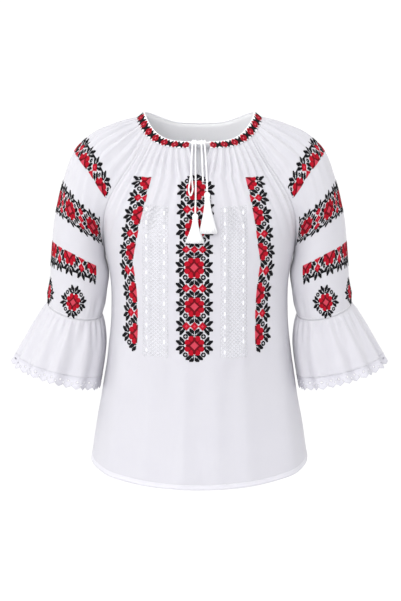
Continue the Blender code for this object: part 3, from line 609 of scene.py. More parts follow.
def scaled(colour, factor):
    """A linear colour made lighter or darker, up to white."""
    return tuple(min(1.0, factor * part) for part in colour[:3]) + (1.0,)


def band_scale(period_mm):
    """The Wave texture's scale for bands that repeat each so many millimetres."""
    return 2 * math.pi / 20 / (period_mm * MM)


def empty_material(name):
    """A new material and its tree, with no nodes in it yet."""
    material = bpy.data.materials.new(name)
    material.use_nodes = True
    material.node_tree.nodes.clear()
    return material, material.node_tree


def cloth_material(name, colour, roughness, weave_mm, weave_depth, subsurface):
    """A plain weave: crossed bands for warp and weft, slubs, and a slow change of shade.

    The turned hem is two layers deep, which makes it a little lighter.
    """
    material, tree = empty_material(name)
    uv = add_node(tree, "ShaderNodeUVMap", uv_map="cloth").outputs["UV"]
    place = add_node(tree, "ShaderNodeTexCoord").outputs["Object"]
    bands = []
    for direction in "XY":
        wave = add_node(tree, "ShaderNodeTexWave", {"Scale": band_scale(weave_mm),
                        "Distortion": 0.6, "Detail": 1.0, "Detail Scale": 0.4},
                        {"Vector": uv}, bands_direction=direction)
        bands.append(wave.outputs["Fac"])
    weave = add_node(tree, "ShaderNodeMath", {}, {0: bands[0], 1: bands[1]},
                     operation="MAXIMUM")
    stretched = add_node(tree, "ShaderNodeMapping", {"Scale": (260.0, 26.0, 1.0)},
                         {"Vector": uv})
    slubs = add_node(tree, "ShaderNodeTexNoise", {"Scale": 1.0, "Detail": 3.0},
                     {"Vector": stretched.outputs["Vector"]})
    cloudy = add_node(tree, "ShaderNodeTexNoise", {"Scale": 22.0, "Detail": 4.0},
                      {"Vector": place})
    shade = add_node(tree, "ShaderNodeMix", {6: CLOUDY_SHADE, 7: (1.0, 1.0, 1.0, 1.0)},
                     {0: cloudy.outputs["Fac"]}, data_type="RGBA")
    level = add_node(tree, "ShaderNodeSeparateXYZ", {}, {"Vector": uv})
    double = add_node(tree, "ShaderNodeMath", {1: (HEM_RUN - HEM_TURN) * MM},
                      {0: level.outputs["Y"]}, operation="GREATER_THAN")
    layers = add_node(tree, "ShaderNodeMix", {6: colour, 7: scaled(colour, 1.13)},
                      {0: double.outputs[0]}, data_type="RGBA")
    tint = add_node(tree, "ShaderNodeMix", {0: 1.0}, {6: layers.outputs[2], 7: shade.outputs[2]},
                    data_type="RGBA", blend_type="MULTIPLY")
    first = add_node(tree, "ShaderNodeBump", {"Strength": 0.5, "Distance": weave_depth * MM},
                     {"Height": weave.outputs["Value"]})
    second = add_node(tree, "ShaderNodeBump", {"Strength": 0.4, "Distance": 0.34 * MM},
                      {"Height": slubs.outputs["Fac"], "Normal": first.outputs["Normal"]})
    shader = add_node(tree, "ShaderNodeBsdfPrincipled", {
        "Roughness": roughness, "IOR": 1.50, "Subsurface Weight": subsurface,
        "Subsurface Radius": (0.002, 0.002, 0.00205), "Subsurface Scale": 1.0},
        {"Base Color": tint.outputs[2], "Normal": second.outputs["Normal"]})
    add_node(tree, "ShaderNodeOutputMaterial", {}, {"Surface": shader.outputs["BSDF"]})
    return material


def thread_material(name, colour, strand_mm=0.28):
    """Stranded cotton: fine bands along each stitch, a soft gloss and a slight shade change."""
    material, tree = empty_material(name)
    uv = add_node(tree, "ShaderNodeUVMap", uv_map="cloth").outputs["UV"]
    place = add_node(tree, "ShaderNodeTexCoord").outputs["Object"]
    strands = add_node(tree, "ShaderNodeTexWave", {"Scale": band_scale(strand_mm),
                       "Distortion": 0.8, "Detail": 1.0}, {"Vector": uv},
                       bands_direction="Y")
    speckle = add_node(tree, "ShaderNodeTexNoise", {"Scale": 420.0, "Detail": 2.0},
                       {"Vector": place})
    shade = add_node(tree, "ShaderNodeMix", {6: scaled(colour, 0.84), 7: scaled(colour, 1.12)},
                     {0: speckle.outputs["Fac"]}, data_type="RGBA")
    bump = add_node(tree, "ShaderNodeBump", {"Strength": 0.5, "Distance": 0.10 * MM},
                    {"Height": strands.outputs["Fac"]})
    shader = add_node(tree, "ShaderNodeBsdfPrincipled", {
        "Roughness": 0.62, "IOR": 1.50, "Specular IOR Level": 0.15},
        {"Base Color": shade.outputs[2], "Normal": bump.outputs["Normal"]})
    add_node(tree, "ShaderNodeOutputMaterial", {}, {"Surface": shader.outputs["BSDF"]})
    return material


def finish(name, make, *settings):
    """The material of this name, made on its first use."""
    return bpy.data.materials.get(name) or make(name, *settings)


ClothLook = namedtuple("ClothLook", "roughness weave_mm weave_depth subsurface")
COTTON_LOOK = ClothLook(0.86, 1.1, 0.10, 0.80)
LACE_LOOK = ClothLook(0.80, 1.6, 0.20, 0.05)


def cotton():
    """Bleached plain-woven cotton. Its threads are drawn 1.1 mm apart so that they can show."""
    return finish("bleached_woven_cotton", cloth_material,
                  tuple(bpy.context.scene.blouse_cloth.cotton), *COTTON_LOOK)


def mesh_thread():
    """The whitework mesh's finer thread, hardly lighter than the cloth under it."""
    return finish("fine_cotton_thread", thread_material,
                  tuple(bpy.context.scene.blouse_stitching.mesh))


def cotton_painted_light():
    """Cotton drawn lighter than the cloth for its inner face, the neck band and the neck facing:
    painted light that stands in for daylight coming through the thin cloth onto the shaded inside.
    """
    return finish("bleached_woven_cotton_inside", cloth_material,
                  tuple(bpy.context.scene.blouse_cloth.inside), *COTTON_LOOK)


# Cross-stitch charts, in cells from the middle of a rose: x across the column, y along it
NONE, BLACK, RED, DARK_RED, PINK = range(5)
REPEAT = 42.0
COLUMN_LENGTH = 168.0
LEAF_REACH = 2.0
LEAF_GAP = 0.6


def leaf(x, y, base, tip):
    """Cells within a pointed lens from base to tip, widest at its middle."""
    way = np.subtract(tip, base)
    length = math.hypot(*way)
    along = ((x - base[0]) * way[0] + (y - base[1]) * way[1]) / length ** 2
    aside = ((x - base[0]) * way[1] - (y - base[1]) * way[0]) / length
    reach = LEAF_REACH * np.sin(np.pi * np.clip(along, 0.0, 1.0)) ** 0.9 + 0.2
    return (np.abs(aside) <= reach) & (along >= 0.0) & (along <= 1.0)


def diamond(x, y, centre_x, centre_y, radius):
    """Cells within a square that stands on its corner."""
    return np.abs(x - centre_x) + np.abs(y - centre_y) <= radius


def hollow_square(x, y, centre_x, centre_y):
    """Cells of a small rounded ring."""
    wide = np.maximum(np.abs(x - centre_x), np.abs(y - centre_y))
    both = np.abs(x - centre_x) + np.abs(y - centre_y)
    return (both <= 3.1) & (wide <= 2.1) & (both >= 1.9)


def rose(x, y):
    """An eight-petalled rose: round petals, dark lines between them and a pink diamond."""
    low = np.minimum(np.abs(x), np.abs(y))
    high = np.maximum(np.abs(x), np.abs(y))
    chart = np.where(np.hypot(low - 3.4, high - 7.6) <= 3.3, RED, NONE)
    chart = np.where((low <= 0.5) & (high <= 9.5), DARK_RED, chart)
    chart = np.where((low <= 1.5) & (high <= 8.6), DARK_RED, chart)
    chart = np.where((high - low <= 0.5) & (high <= 6.0), DARK_RED, chart)
    chart = np.where(diamond(x, y, 0, 0, 7.1), DARK_RED, chart)
    return np.where(diamond(x, y, 0, 0, 4.1), PINK, chart)


def leaf_fan(x, y, base, tips):
    """Two leaves from one base, mirrored across y = 0, with thin gaps between the four."""
    aside = np.abs(y)
    total = leaf(x, aside, base, tips[0]) | leaf(x, aside, base, tips[1])
    ways = [np.subtract(tip, base) / math.dist(tip, base) for tip in tips]
    way = ways[0] + ways[1]
    gap = np.abs((x - base[0]) * way[1] - (aside - base[1]) * way[0]) / np.hypot(*way)
    return total & ((np.minimum(gap, aside) > LEAF_GAP) | (x < base[0] + 1.0))


def side_fan(x, y):
    """Four leaves that fan out from both sides of a rose or a row of diamonds."""
    return leaf_fan(np.abs(x), y, (11.3, 0.6), ((21.0, 5.0), (15.8, 9.6)))


def leaf_pair(x, y):
    """Four leaves that fan out above and below a rose."""
    return leaf_fan(np.abs(y), x, (11.0, 0.6), ((14.8, 9.4), (18.4, 4.8)))


def column_motif(x, y):
    """The column: a rose each repeat, three diamonds halfway, leaves and squares between."""
    near = (y + REPEAT / 2) % REPEAT - REPEAT / 2
    half = np.where((y > 0.0) & (y < COLUMN_LENGTH), y % REPEAT - REPEAT / 2, REPEAT)
    chart = rose(x, near)
    black = leaf_pair(x, near) | side_fan(x, near) | side_fan(x, half)
    black |= hollow_square(np.abs(x), np.abs(near), 10.0, 10.0)
    chart = np.where(black & (chart == NONE), BLACK, chart)
    for centre in (0.0, 9.0):
        chart = np.where(diamond(np.abs(x), half, centre, 0.0, 4.2), RED, chart)
        chart = np.where(diamond(np.abs(x), half, centre, 0.0, 1.2), PINK, chart)
    return chart


def medallion_motif(x, y):
    """One rose with a fan on each of its four sides and a square on each diagonal."""
    chart = rose(x, y)
    black = side_fan(x, y) | side_fan(y, x)
    black |= hollow_square(np.abs(x), np.abs(y), 11.0, 11.0)
    return np.where(black & (chart == NONE), BLACK, chart)


def chart_of(motif, columns, rows):
    """A chart of the motif on whole cells, from the first to the last column and row."""
    x, y = np.meshgrid(np.arange(columns[0], columns[1] + 1.0),
                       np.arange(rows[0], rows[1] + 1.0))
    return motif(x, y).astype(int)


def cell_corners(columns, rows):
    """The corners of the same cells, as a grid one larger each way."""
    return np.meshgrid(np.arange(columns[0], columns[1] + 2.0) - 0.5,
                       np.arange(rows[0], rows[1] + 2.0) - 0.5)


def arc_shares(place, runs, start, offsets):
    """Shares that lie so many millimetres along each run's row from its starting share."""
    shares = np.linspace(-1.0, 1.0, 161)
    across, down = np.meshgrid(shares, runs)
    points = place(across.ravel(), down.ravel()).reshape(*across.shape, 3)
    return np.array([np.interp(offset + np.interp(share, shares, row), row, shares)
                     for row, share, offset in zip(lengths_along(points), start, offsets)])


def stretched_interp(values, known, results):
    """np.interp that carries on in a straight line past both ends."""
    found = np.interp(values, known, results)
    first = (results[1] - results[0]) / (known[1] - known[0])
    last = (results[-1] - results[-2]) / (known[-1] - known[-2])
    found = np.where(values < known[0], results[0] + (values - known[0]) * first, found)
    return np.where(values > known[-1], results[-1] + (values - known[-1]) * last, found)


CROSS_WIDTH = 0.90
UNDER_CREST = 0.26
OVER_CREST = 0.40
CROSS_SINK = -0.06
# One thread: the corners of its long faces and of its ends, and each corner's place on it
BAR_FACES = np.array([[0, 3, 4, 1], [1, 4, 5, 2], [2, 5, 3, 0]])
BAR_ENDS = np.array([[0, 1, 2], [3, 5, 4]])
BAR_PLACES = np.array([(along, aside) for along in (0.0, 2.0) for aside in (0.0, 0.4, 0.8)])


def bars_between(start, end, normals, width, crest):
    """Threads from start to end: a low ridge with a closed underside, six points each."""
    way = unit(end - start)
    aside = unit(np.cross(normals, way)) * width / 2
    low = normals * CROSS_SINK
    high = normals * crest
    ends = []
    for place in (start, end):
        ends += [place - aside + low, place + high, place + aside + low]
    return np.stack(ends, axis=1)


def make_bars(name, bars, numbers, materials):
    """All the threads of one piece as one mesh. numbers gives each thread its material."""
    count = len(bars)
    base = (np.arange(count) * len(BAR_PLACES))[:, None, None]
    quads = (BAR_FACES[None] + base).reshape(-1, 4)
    ends = (BAR_ENDS[None] + base).reshape(-1, 3)
    uv = np.concatenate([np.tile(BAR_PLACES[part.ravel()] * MM, (count, 1))
                         for part in (BAR_FACES, BAR_ENDS)])
    faces_numbers = np.concatenate([np.repeat(numbers, 3), np.repeat(numbers, 2)])
    flat = np.concatenate([np.tile([False, False, True], count), np.ones(2 * count, dtype=bool)])
    return make_mesh(name, bars.reshape(-1, 3), [quads, ends], materials, faces_numbers, uv,
                     flat)


def gathered(found):
    """The threads and the colours' numbers of several grids, each as one array."""
    return tuple(np.concatenate(parts) for parts in zip(*found))


def crosses_on(points, normals, chart):
    """Both threads of each cross on a grid of corners, with the number of each one's colour."""
    rows, columns = np.nonzero(chart)
    around = [points[rows, columns], points[rows, columns + 1],
              points[rows + 1, columns + 1], points[rows + 1, columns]]
    out = unit(normals[rows, columns] + normals[rows + 1, columns + 1])
    cell = np.linalg.norm(around[2] - around[0], axis=-1, keepdims=True) / math.sqrt(2.0)
    width = CROSS_WIDTH * cell
    under = bars_between(around[0], around[2], out, width, UNDER_CREST)
    over = bars_between(around[1], around[3], out, width, OVER_CREST)
    colours = chart[rows, columns] - 1
    return np.concatenate([under, over]), np.concatenate([colours, colours])


def thread(shade):
    """Stranded cotton in one of the stitching's colours."""
    return finish(f"stranded_cotton_{shade}", thread_material,
                  tuple(getattr(bpy.context.scene.blouse_stitching, shade)))


def threads():
    """The four colours of the crosses in the order of the chart's numbers."""
    return [thread(shade) for shade in ("black", "red", "dark_red", "pink")]


FrontColumn = namedtuple("FrontColumn", "columns rows cell start row_runs")
ROSE_ROWS = (0.0, 42.0, 84.0, 126.0, 168.0)
FRONT_COLUMNS = (
    FrontColumn((-20, 20), (-17, 185), 1.478, ((0, -0.035), (400, -0.035)),
                (98.0, 160.0, 226.0, 286.0, 350.0)),
    FrontColumn((-20, 0), (-5, 186), 1.5,
                ((80, -0.552), (122, -0.515), (184, -0.49), (358, -0.48)),
                (86.0, 142.0, 201.0, 270.0, 338.0)),
    FrontColumn((0, 20), (-5, 188), 1.5,
                ((80, 0.53), (130, 0.48), (186, 0.44), (270, 0.43), (362, 0.42)),
                (86.0, 142.0, 201.0, 270.0, 338.0)),
)


def front_crosses():
    """The crosses of the three columns on the front."""
    found = []
    for column in FRONT_COLUMNS:
        chart = chart_of(column_motif, column.columns, column.rows)
        x, y = cell_corners(column.columns, column.rows)
        runs = stretched_interp(y[:, 0], ROSE_ROWS, column.row_runs)
        known, shares = zip(*column.start)
        start = np.interp(runs, known, shares)
        share = arc_shares(front_place, runs, start, x * column.cell)
        points, normals = cloth_point(FRONT, share, np.repeat(runs[:, None], x.shape[1], axis=1))
        found.append(crosses_on(points, normals, chart))
    return gathered(found)


SleeveBand = namedtuple("SleeveBand", "motif_rows cell roses ends edge")
SLEEVE_BANDS = (
    SleeveBand((-20, 0), 1.20, (-0.467, -0.85), (-0.955, 0.955),
               ((0.0, 115.5), (0.65, 118.5), (0.94, 126.0), (1.0, 128.0))),
    SleeveBand((-20, 20), 1.16, (-0.442, -0.792), (-0.925, 0.925),
               ((0.0, 169.0), (0.2, 170.0), (0.4, 173.0), (0.6, 178.5), (0.83, 182.0),
                (1.0, 184.0))),
    SleeveBand((0, 20), 1.30, (-0.40, -0.667), (-0.70, 0.70),
               ((0.0, 236.0), (0.17, 237.0), (0.47, 240.0), (0.70, 246.0))),
)
SLEEVE_REPEAT = 38.0
MEDALLIONS = (-0.475, -0.09, 0.295, 0.68)
MEDALLION_CELLS = (-20, 20)
MEDALLION_RUN = 302.5
MEDALLION_ROUND = 1.06
MEDALLION_ALONG = 1.2


def spread_repeat(along):
    """Places in the column's chart for a sleeve band, whose repeats are shorter."""
    near = (along + SLEEVE_REPEAT / 2) % SLEEVE_REPEAT - SLEEVE_REPEAT / 2
    past = np.maximum(np.abs(near) - SLEEVE_REPEAT / 4, 0.0)
    skip = (REPEAT - SLEEVE_REPEAT) / 2 * (past > 0)
    return REPEAT + np.sign(near) * (np.abs(near) + skip)


def sleeve_lengths(run):
    """The shares and how far round the sleeve they lie from its outermost line."""
    shares = np.linspace(-1.0, 1.0, 401)
    lengths = lengths_along(sleeve_place(shares, np.full_like(shares, run)))
    return shares, lengths - np.interp(0.0, shares, lengths)


def sleeve_crosses(panel):
    """The crosses of the three bands on one sleeve."""
    found = []
    for band in SLEEVE_BANDS:
        known, levels = zip(*band.edge)
        shares, lengths = sleeve_lengths(np.mean(levels))
        first, second = np.interp(band.roses, shares, lengths)
        pitch = abs(second - first) / SLEEVE_REPEAT
        ends = np.interp(band.ends, shares, lengths)
        columns = tuple(np.round((ends - first) / pitch).astype(int))
        x, y = cell_corners(columns, band.motif_rows)
        chart = chart_of(lambda a, b: column_motif(b, spread_repeat(a)), columns,
                         band.motif_rows)
        share = np.interp(first + x * pitch, lengths, shares)
        run = np.interp(np.abs(share), known, levels) + y * band.cell
        points, normals = cloth_point(panel, share, run)
        found.append(crosses_on(points, normals, chart))
    return gathered(found)


def medallion_crosses(panel):
    """The crosses of the four medallions on one sleeve."""
    found = []
    chart = chart_of(medallion_motif, MEDALLION_CELLS, MEDALLION_CELLS)
    x, y = cell_corners(MEDALLION_CELLS, MEDALLION_CELLS)
    shares, lengths = sleeve_lengths(MEDALLION_RUN)
    for centre in MEDALLIONS:
        middle = np.interp(centre, shares, lengths)
        share = np.interp(middle + x * MEDALLION_ROUND, lengths, shares)
        points, normals = cloth_point(panel, share, MEDALLION_RUN + y * MEDALLION_ALONG)
        found.append(crosses_on(points, normals, chart))
    return gathered(found)


# The neck band, named by its angle round the neck, the height up it and the way out of it
BAND_TOP = 12.4
BAND_WALL = 0.7
BAND_SPREAD = 0.9
SPREAD_TOP = 1.5
ROLL_RADIUS = 0.95
ROLL_RISE = 1.6
BAND_COLUMNS = 260
BAND_FOOT = -3.2
BAND_CHART = (
    "..RR..K....K",
    ".RDDRKKK..KK",
    "RRDDRRKKKKKK",
    "RDPPDRDKKKKD",
    "RDPPDRDKKKKD",
    "RRDDRRKKKKKK",
    ".RDDRKKK..KK",
    "..RR..K....K",
)
CHART_LETTERS = {".": NONE, "K": BLACK, "R": RED, "D": DARK_RED, "P": PINK}
BAND_REPEATS = 28


def band_angles(count, inset=0.0):
    """Angles at even steps along the band, inset millimetres short of its two ends."""
    angles = np.linspace(SLIT_ANGLE, 360.0 - SLIT_ANGLE, 721)
    lengths = lengths_along(neck_curve(angles))
    return np.interp(np.linspace(inset, lengths[-1] - inset, count), lengths, angles)


def band_point(angles, up, out):
    """A point of the band, so far up from the neck curve and so far out of it."""
    down, outward = neck_frame(angles)
    return neck_curve(angles) - down * up[..., None] + outward * out[..., None]


def sweep_faces(points):
    """Faces and UV places of a swept profile: rings of points, closed round and capped."""
    rings, sides = points.shape[:2]
    ids = np.arange(rings * sides).reshape(rings, sides)
    quads = quads_of(np.concatenate([ids, ids[:, :1]], axis=1))
    first, last = ids[:1], ids[-1:, ::-1]
    middle = points.mean(axis=1)
    spread = points - middle[:, None]
    turn = np.cross(np.roll(spread, -1, axis=1), spread).sum(axis=1)
    if (turn * np.gradient(middle, axis=0)).sum() < 0:
        quads, first, last = quads[:, ::-1], first[:, ::-1], last[:, ::-1]
    girth = np.linalg.norm(np.roll(points, -1, axis=1) - points, axis=-1).mean(axis=0)
    u = lengths_along(middle) * MM
    v = np.concatenate([[0.0], np.cumsum(girth)]) * MM
    side = quads % sides
    wraps = (side.max(axis=1) == sides - 1) & (side.min(axis=1) == 0)
    side = np.where(wraps[:, None] & (side == 0), sides, side)
    uv = np.stack([u[quads // sides], v[side]], axis=-1).reshape(-1, 2)
    return quads, first, last, np.concatenate([uv, np.zeros((2 * sides, 2))])


def make_sweeps(name, sweeps, material):
    """Swept profiles as one piece."""
    points, faces, uv, flat = [], [], [], []
    start = 0
    for sweep in sweeps:
        quads, first, last, flat_uv = sweep_faces(sweep)
        points.append(sweep.reshape(-1, 3))
        faces += [quads + start, first + start, last + start]
        uv.append(flat_uv)
        flat.append(np.arange(len(quads) + 2) >= len(quads))
        start += sweep.shape[0] * sweep.shape[1]
    flat = np.concatenate(flat)
    return make_mesh(name, np.concatenate(points), faces, [material], np.zeros(len(flat)),
                     np.concatenate(uv), flat)


def band_out(up):
    """How far out the band's face lies: it spreads over the gathers at its foot."""
    return BAND_WALL + BAND_SPREAD * ease((SPREAD_TOP - up) / (SPREAD_TOP - BAND_FOOT))


def make_neck_band():
    """The band's cloth: a strip round the neck with a rolled upper edge."""
    turn = np.linspace(-0.25 * np.pi, 1.25 * np.pi, 13)
    face = np.array([BAND_FOOT - 0.2, -2.0, -0.8, 0.6, 1.6, 8.0])
    up = np.concatenate([face, BAND_TOP + ROLL_RISE + ROLL_RADIUS * np.sin(turn), [8.0, 3.0, -0.9]])
    out = np.concatenate([band_out(face), ROLL_RADIUS * np.cos(turn), [-BAND_WALL] * 3])
    angles = band_angles(BAND_COLUMNS)
    grid_up = np.repeat(up[None], len(angles), axis=0)
    grid_out = np.repeat(out[None], len(angles), axis=0)
    grid_angles = np.repeat(angles[:, None], len(up), axis=1)
    points = band_point(grid_angles, grid_up, grid_out)
    # The whole band, outer face too, is drawn in the lighter cotton: painted light on its shaded inner
    # strip.
    return make_sweeps("neck_band_cloth", [points], cotton_painted_light())


FACING_TURN = 96.0
FACING_TAPER = 44.0
FACING_LEAST = 6.0
FACING_DEPTH = 32.0
FACING_WALL = 0.8


def make_neck_facing():
    """A smooth strip inside the back of the neck, sewn in under the band's upper edge."""
    angles = 180.0 + np.linspace(-FACING_TURN, FACING_TURN, 131)
    wide = ease((FACING_TURN - np.abs(angles - 180.0)) / FACING_TAPER)
    depth = FACING_LEAST + (FACING_DEPTH - FACING_LEAST) * wide
    top = band_point(angles, np.full_like(angles, BAND_TOP + 0.9), np.full_like(angles, -1.2))
    low = neck_curve(angles, inner=-0.25) - depth[:, None] * (0.0, 0.0, 1.0)
    along = np.linspace(0.0, 1.0, 7)[None, :, None]
    inner = top[:, None] * (1.0 - along) + low[:, None] * along
    way_out = unit(inner * (1.0, 1.0, 0.0) - (0.0, NECK_CENTRE_Y, 0.0))
    points = np.concatenate([inner, (inner + FACING_WALL * way_out)[:, ::-1]], axis=1)
    # Drawn in the lighter cotton: painted light on the shaded inside of the neck's back.
    return make_sweeps("neck_facing", [points], cotton_painted_light())


def make_band_crosses():
    """The band's crosses: the chart's twelve columns, repeated round the neck."""
    letters = [[CHART_LETTERS[letter] for letter in row] for row in BAND_CHART]
    chart = np.tile(np.array(letters), (1, BAND_REPEATS))
    chart = np.concatenate([chart, chart[:, :6]], axis=1)
    rows, columns = chart.shape
    angles = band_angles(columns + 1, inset=0.8)
    heights = np.linspace(BAND_TOP + 0.6, BAND_FOOT, rows + 1)
    grid_angles = np.repeat(angles[None], rows + 1, axis=0)
    grid_up = np.repeat(heights[:, None], columns + 1, axis=1)
    points = band_point(grid_angles, grid_up, band_out(grid_up) + 0.05)
    outward = np.broadcast_to(neck_frame(angles)[1], points.shape)
    bars, numbers = crosses_on(points, outward, chart)
    return make_bars("neck_band_crosses", bars, numbers, threads())


# The drawstring, along routes in x, z and the layer in front of the front's middle surface
FRONT_LAYER = 9.8
REAR_LAYER = 6.2
TASSEL_LAYER = 7.6
CORD_SPACING = 0.8
CORD_SIDES = 12
CORD_PITCH = 8.5
CORD_LOBES = 0.26
CORD_SWELL = 1.04
FINE_STEPS = 400
CordPoint = namedtuple("CordPoint", "x z layer")
CORD_END_LEFT = (
    CordPoint(-6.4, -53.7, -1.2), CordPoint(-6.5, -64.0, 1.4),
    CordPoint(-6.6, -76.0, REAR_LAYER), CordPoint(-6.2, -110.0, REAR_LAYER),
    CordPoint(-6.2, -140.0, REAR_LAYER), CordPoint(-6.8, -165.8, TASSEL_LAYER),
)
CORD_END_RIGHT = (
    CordPoint(8.6, -53.6, -1.7), CordPoint(9.4, -64.0, 1.4),
    CordPoint(10.2, -76.0, REAR_LAYER), CordPoint(11.2, -92.0, REAR_LAYER),
    CordPoint(12.2, -112.0, REAR_LAYER), CordPoint(12.4, -130.9, TASSEL_LAYER),
)
CORD_LOOP_LEFT = (
    CordPoint(-11.6, -53.5, -2.5), CordPoint(-12.2, -64.0, 4.8),
    CordPoint(-12.8, -76.0, FRONT_LAYER), CordPoint(-13.6, -100.0, FRONT_LAYER),
    CordPoint(-15.8, -116.0, FRONT_LAYER), CordPoint(-17.4, -130.0, FRONT_LAYER - 1),
    CordPoint(-14.6, -137.4, FRONT_LAYER - 2), CordPoint(-11.4, -130.0, FRONT_LAYER - 3),
    CordPoint(-11.8, -116.0, REAR_LAYER), CordPoint(-13.2, -98.0, REAR_LAYER),
    CordPoint(-12.6, -76.0, REAR_LAYER), CordPoint(-12.0, -64.0, 1.8),
    CordPoint(-11.6, -55.5, -5.6),
)
CORD_LOOP_RIGHT = (
    CordPoint(3.2, -53.9, -0.6), CordPoint(3.6, -64.0, 4.8),
    CordPoint(4.2, -76.0, FRONT_LAYER), CordPoint(5.0, -94.0, FRONT_LAYER),
    CordPoint(5.6, -108.0, FRONT_LAYER - 0.2), CordPoint(5.9, -114.8, FRONT_LAYER - 1.8),
    CordPoint(5.6, -108.0, REAR_LAYER), CordPoint(5.0, -94.0, REAR_LAYER),
    CordPoint(4.2, -76.0, REAR_LAYER), CordPoint(3.6, -64.0, 1.2),
    CordPoint(3.2, -56.0, -4.0),
)
KNOT_AXIS_Y = -75.5
KNOT_AXIS_Z = -51.0
KNOT_BULGE = 3.0
KNOT_HALF = 15.6
KNOT_SWELL = 1.03
KNOT_TURN_RADIUS = 1.15
KNOT_RINGS = (
    (-15.6, 1.5), (-13.8, 1.6), (-12.6, 3.0), (-9.0, 3.8), (-3.6, 3.2), (1.5, 3.8),
    (7.0, 3.6), (10.4, 3.0), (12.0, 1.6), (15.6, 1.5))
Tassel = namedtuple("Tassel", "x top_z bottom_x length spread layer")
TASSELS = {
    "left": Tassel(-6.8, -166.4, -7.5, 49.0, 15.8, TASSEL_LAYER),
    "right": Tassel(12.4, -131.8, 14.5, 68.0, 15.2, TASSEL_LAYER),
}
TASSEL_HEAD = ((0.0, 1.8), (1.4, 4.0), (5.0, 5.4), (8.6, 4.6), (10.0, 4.0), (12.0, 5.6))
SKIRT_FLATNESS = 0.45
SKIRT_START = 8.0
SKIRT_WAIST = 4.2
SKIRT_FLARE = 0.62
STRAND_RADIUS = 0.62
GOLDEN_ANGLE = math.pi * (3.0 - math.sqrt(5.0))
TIP_SCATTER = 12.9898
KNOT_TURNS = (-11.6, -6.4, 3.2, 8.6)


def front_depth(z):
    """How far forward the front's middle lies at a height."""
    known = [row.front_z for row in reversed(CHEST)] + [NECK_SIDE_Z - NECK_FRONT_DROP]
    depths = [row.front_y for row in reversed(CHEST)] + [NECK_CENTRE_Y - NECK_HALF_DEPTH]
    return np.interp(z, known, depths)


def cord_line(route):
    """A route's middle line: a cubic through its points, then even steps along it."""
    points = np.array([(p.x, front_depth(p.z) - p.layer, p.z) for p in route])
    knots = lengths_along(points)
    sections = np.broadcast_to(points[:, None, :], (len(points), FINE_STEPS, 3))
    line = loft(knots, sections, np.linspace(0.0, knots[-1], FINE_STEPS))
    lengths = lengths_along(line)
    even = np.linspace(0.0, lengths[-1], round(lengths[-1] / CORD_SPACING) + 1)
    return np.stack([np.interp(even, lengths, line[:, i]) for i in range(3)], axis=-1)


def rings_round(line, radii, sides, lobes=0, pitch=9.0, lobe_depth=0.0):
    """Rings square to a line. Lobes make the section a twisted rope of that many plies."""
    way = unit(np.gradient(line, axis=0))
    side = unit(np.cross(way, np.array([0.0, 1.0, 0.0])))
    other = np.cross(side, way)
    turn = turns(sides)
    phase = turn[None] - 2 * np.pi * lengths_along(line)[:, None] / pitch
    lobed = 1.0 - lobe_depth * (1.0 - np.abs(np.cos(lobes / 2 * phase)))
    radius = np.asarray(radii)[:, None] * lobed
    across = np.cos(turn)[None] * radius
    deep = np.sin(turn)[None] * radius
    return line[:, None] + side[:, None] * across[..., None] + other[:, None] * deep[..., None]


def cord_finish():
    """The drawstring's and tassels' white cotton: coarser strands than a stitch's."""
    return finish("twisted_cotton_cord", thread_material,
                  tuple(bpy.context.scene.blouse_trim.cord), 0.5)


def make_cord(name, route, radius):
    """One length of the drawstring as a three-ply cord. Returns it and its middle line."""
    line = cord_line(route)
    points = rings_round(line, np.full(len(line), radius * CORD_SWELL), CORD_SIDES, lobes=3,
                         pitch=CORD_PITCH, lobe_depth=CORD_LOBES)
    return make_sweeps(name, [points], cord_finish()), line


def knot_depth(x):
    """How far back the knot's middle line lies: it bulges to the front."""
    return KNOT_AXIS_Y - KNOT_BULGE * np.cos(np.pi / 2 * x / KNOT_HALF)


def make_knot():
    """The knot: a fat twisted bar between the band's ends, with a turn where each cord hangs."""
    x = np.linspace(-KNOT_HALF, KNOT_HALF, 70)
    line = np.stack([x, knot_depth(x), np.full_like(x, KNOT_AXIS_Z)], axis=-1)
    radii = np.interp(x, *zip(*KNOT_RINGS)) * KNOT_SWELL
    sweeps = [rings_round(line, radii, 18, lobes=3, pitch=11.0, lobe_depth=0.20)]
    turn = np.linspace(0.0, 2 * np.pi, 41)
    for place in KNOT_TURNS:
        radius = np.interp(place, *zip(*KNOT_RINGS)) + 0.5
        ring = np.stack([place + 0.5 * np.sin(turn), knot_depth(place) + radius * np.cos(turn),
                         KNOT_AXIS_Z + radius * np.sin(turn)], axis=-1)
        sweeps.append(ring_tube(ring, KNOT_TURN_RADIUS, 8))
    knot = make_sweeps("drawstring_knot", sweeps, cord_finish())
    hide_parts("tie_knot")
    return knot


def ring_tube(line, radius, sides):
    """A tube round a line that closes on itself, with its section in the line's own plane."""
    way = unit(np.gradient(line, axis=0))
    out = unit(line - line[:-1].mean(axis=0))
    return tube_round(line, out, unit(np.cross(way, out)), radius, sides)


def tube_round(line, first, second, radius, sides):
    """Rings of one radius round a line, across the two ways that are given at each point."""
    turn = turns(sides)[None, :, None]
    return line[:, None] + radius * (np.cos(turn) * first[:, None] + np.sin(turn) * second[:, None])


def tassel_depth(tassel, down):
    """How far forward a tassel's middle lies, following the front below it."""
    return front_depth(tassel.top_z - down) - tassel.layer


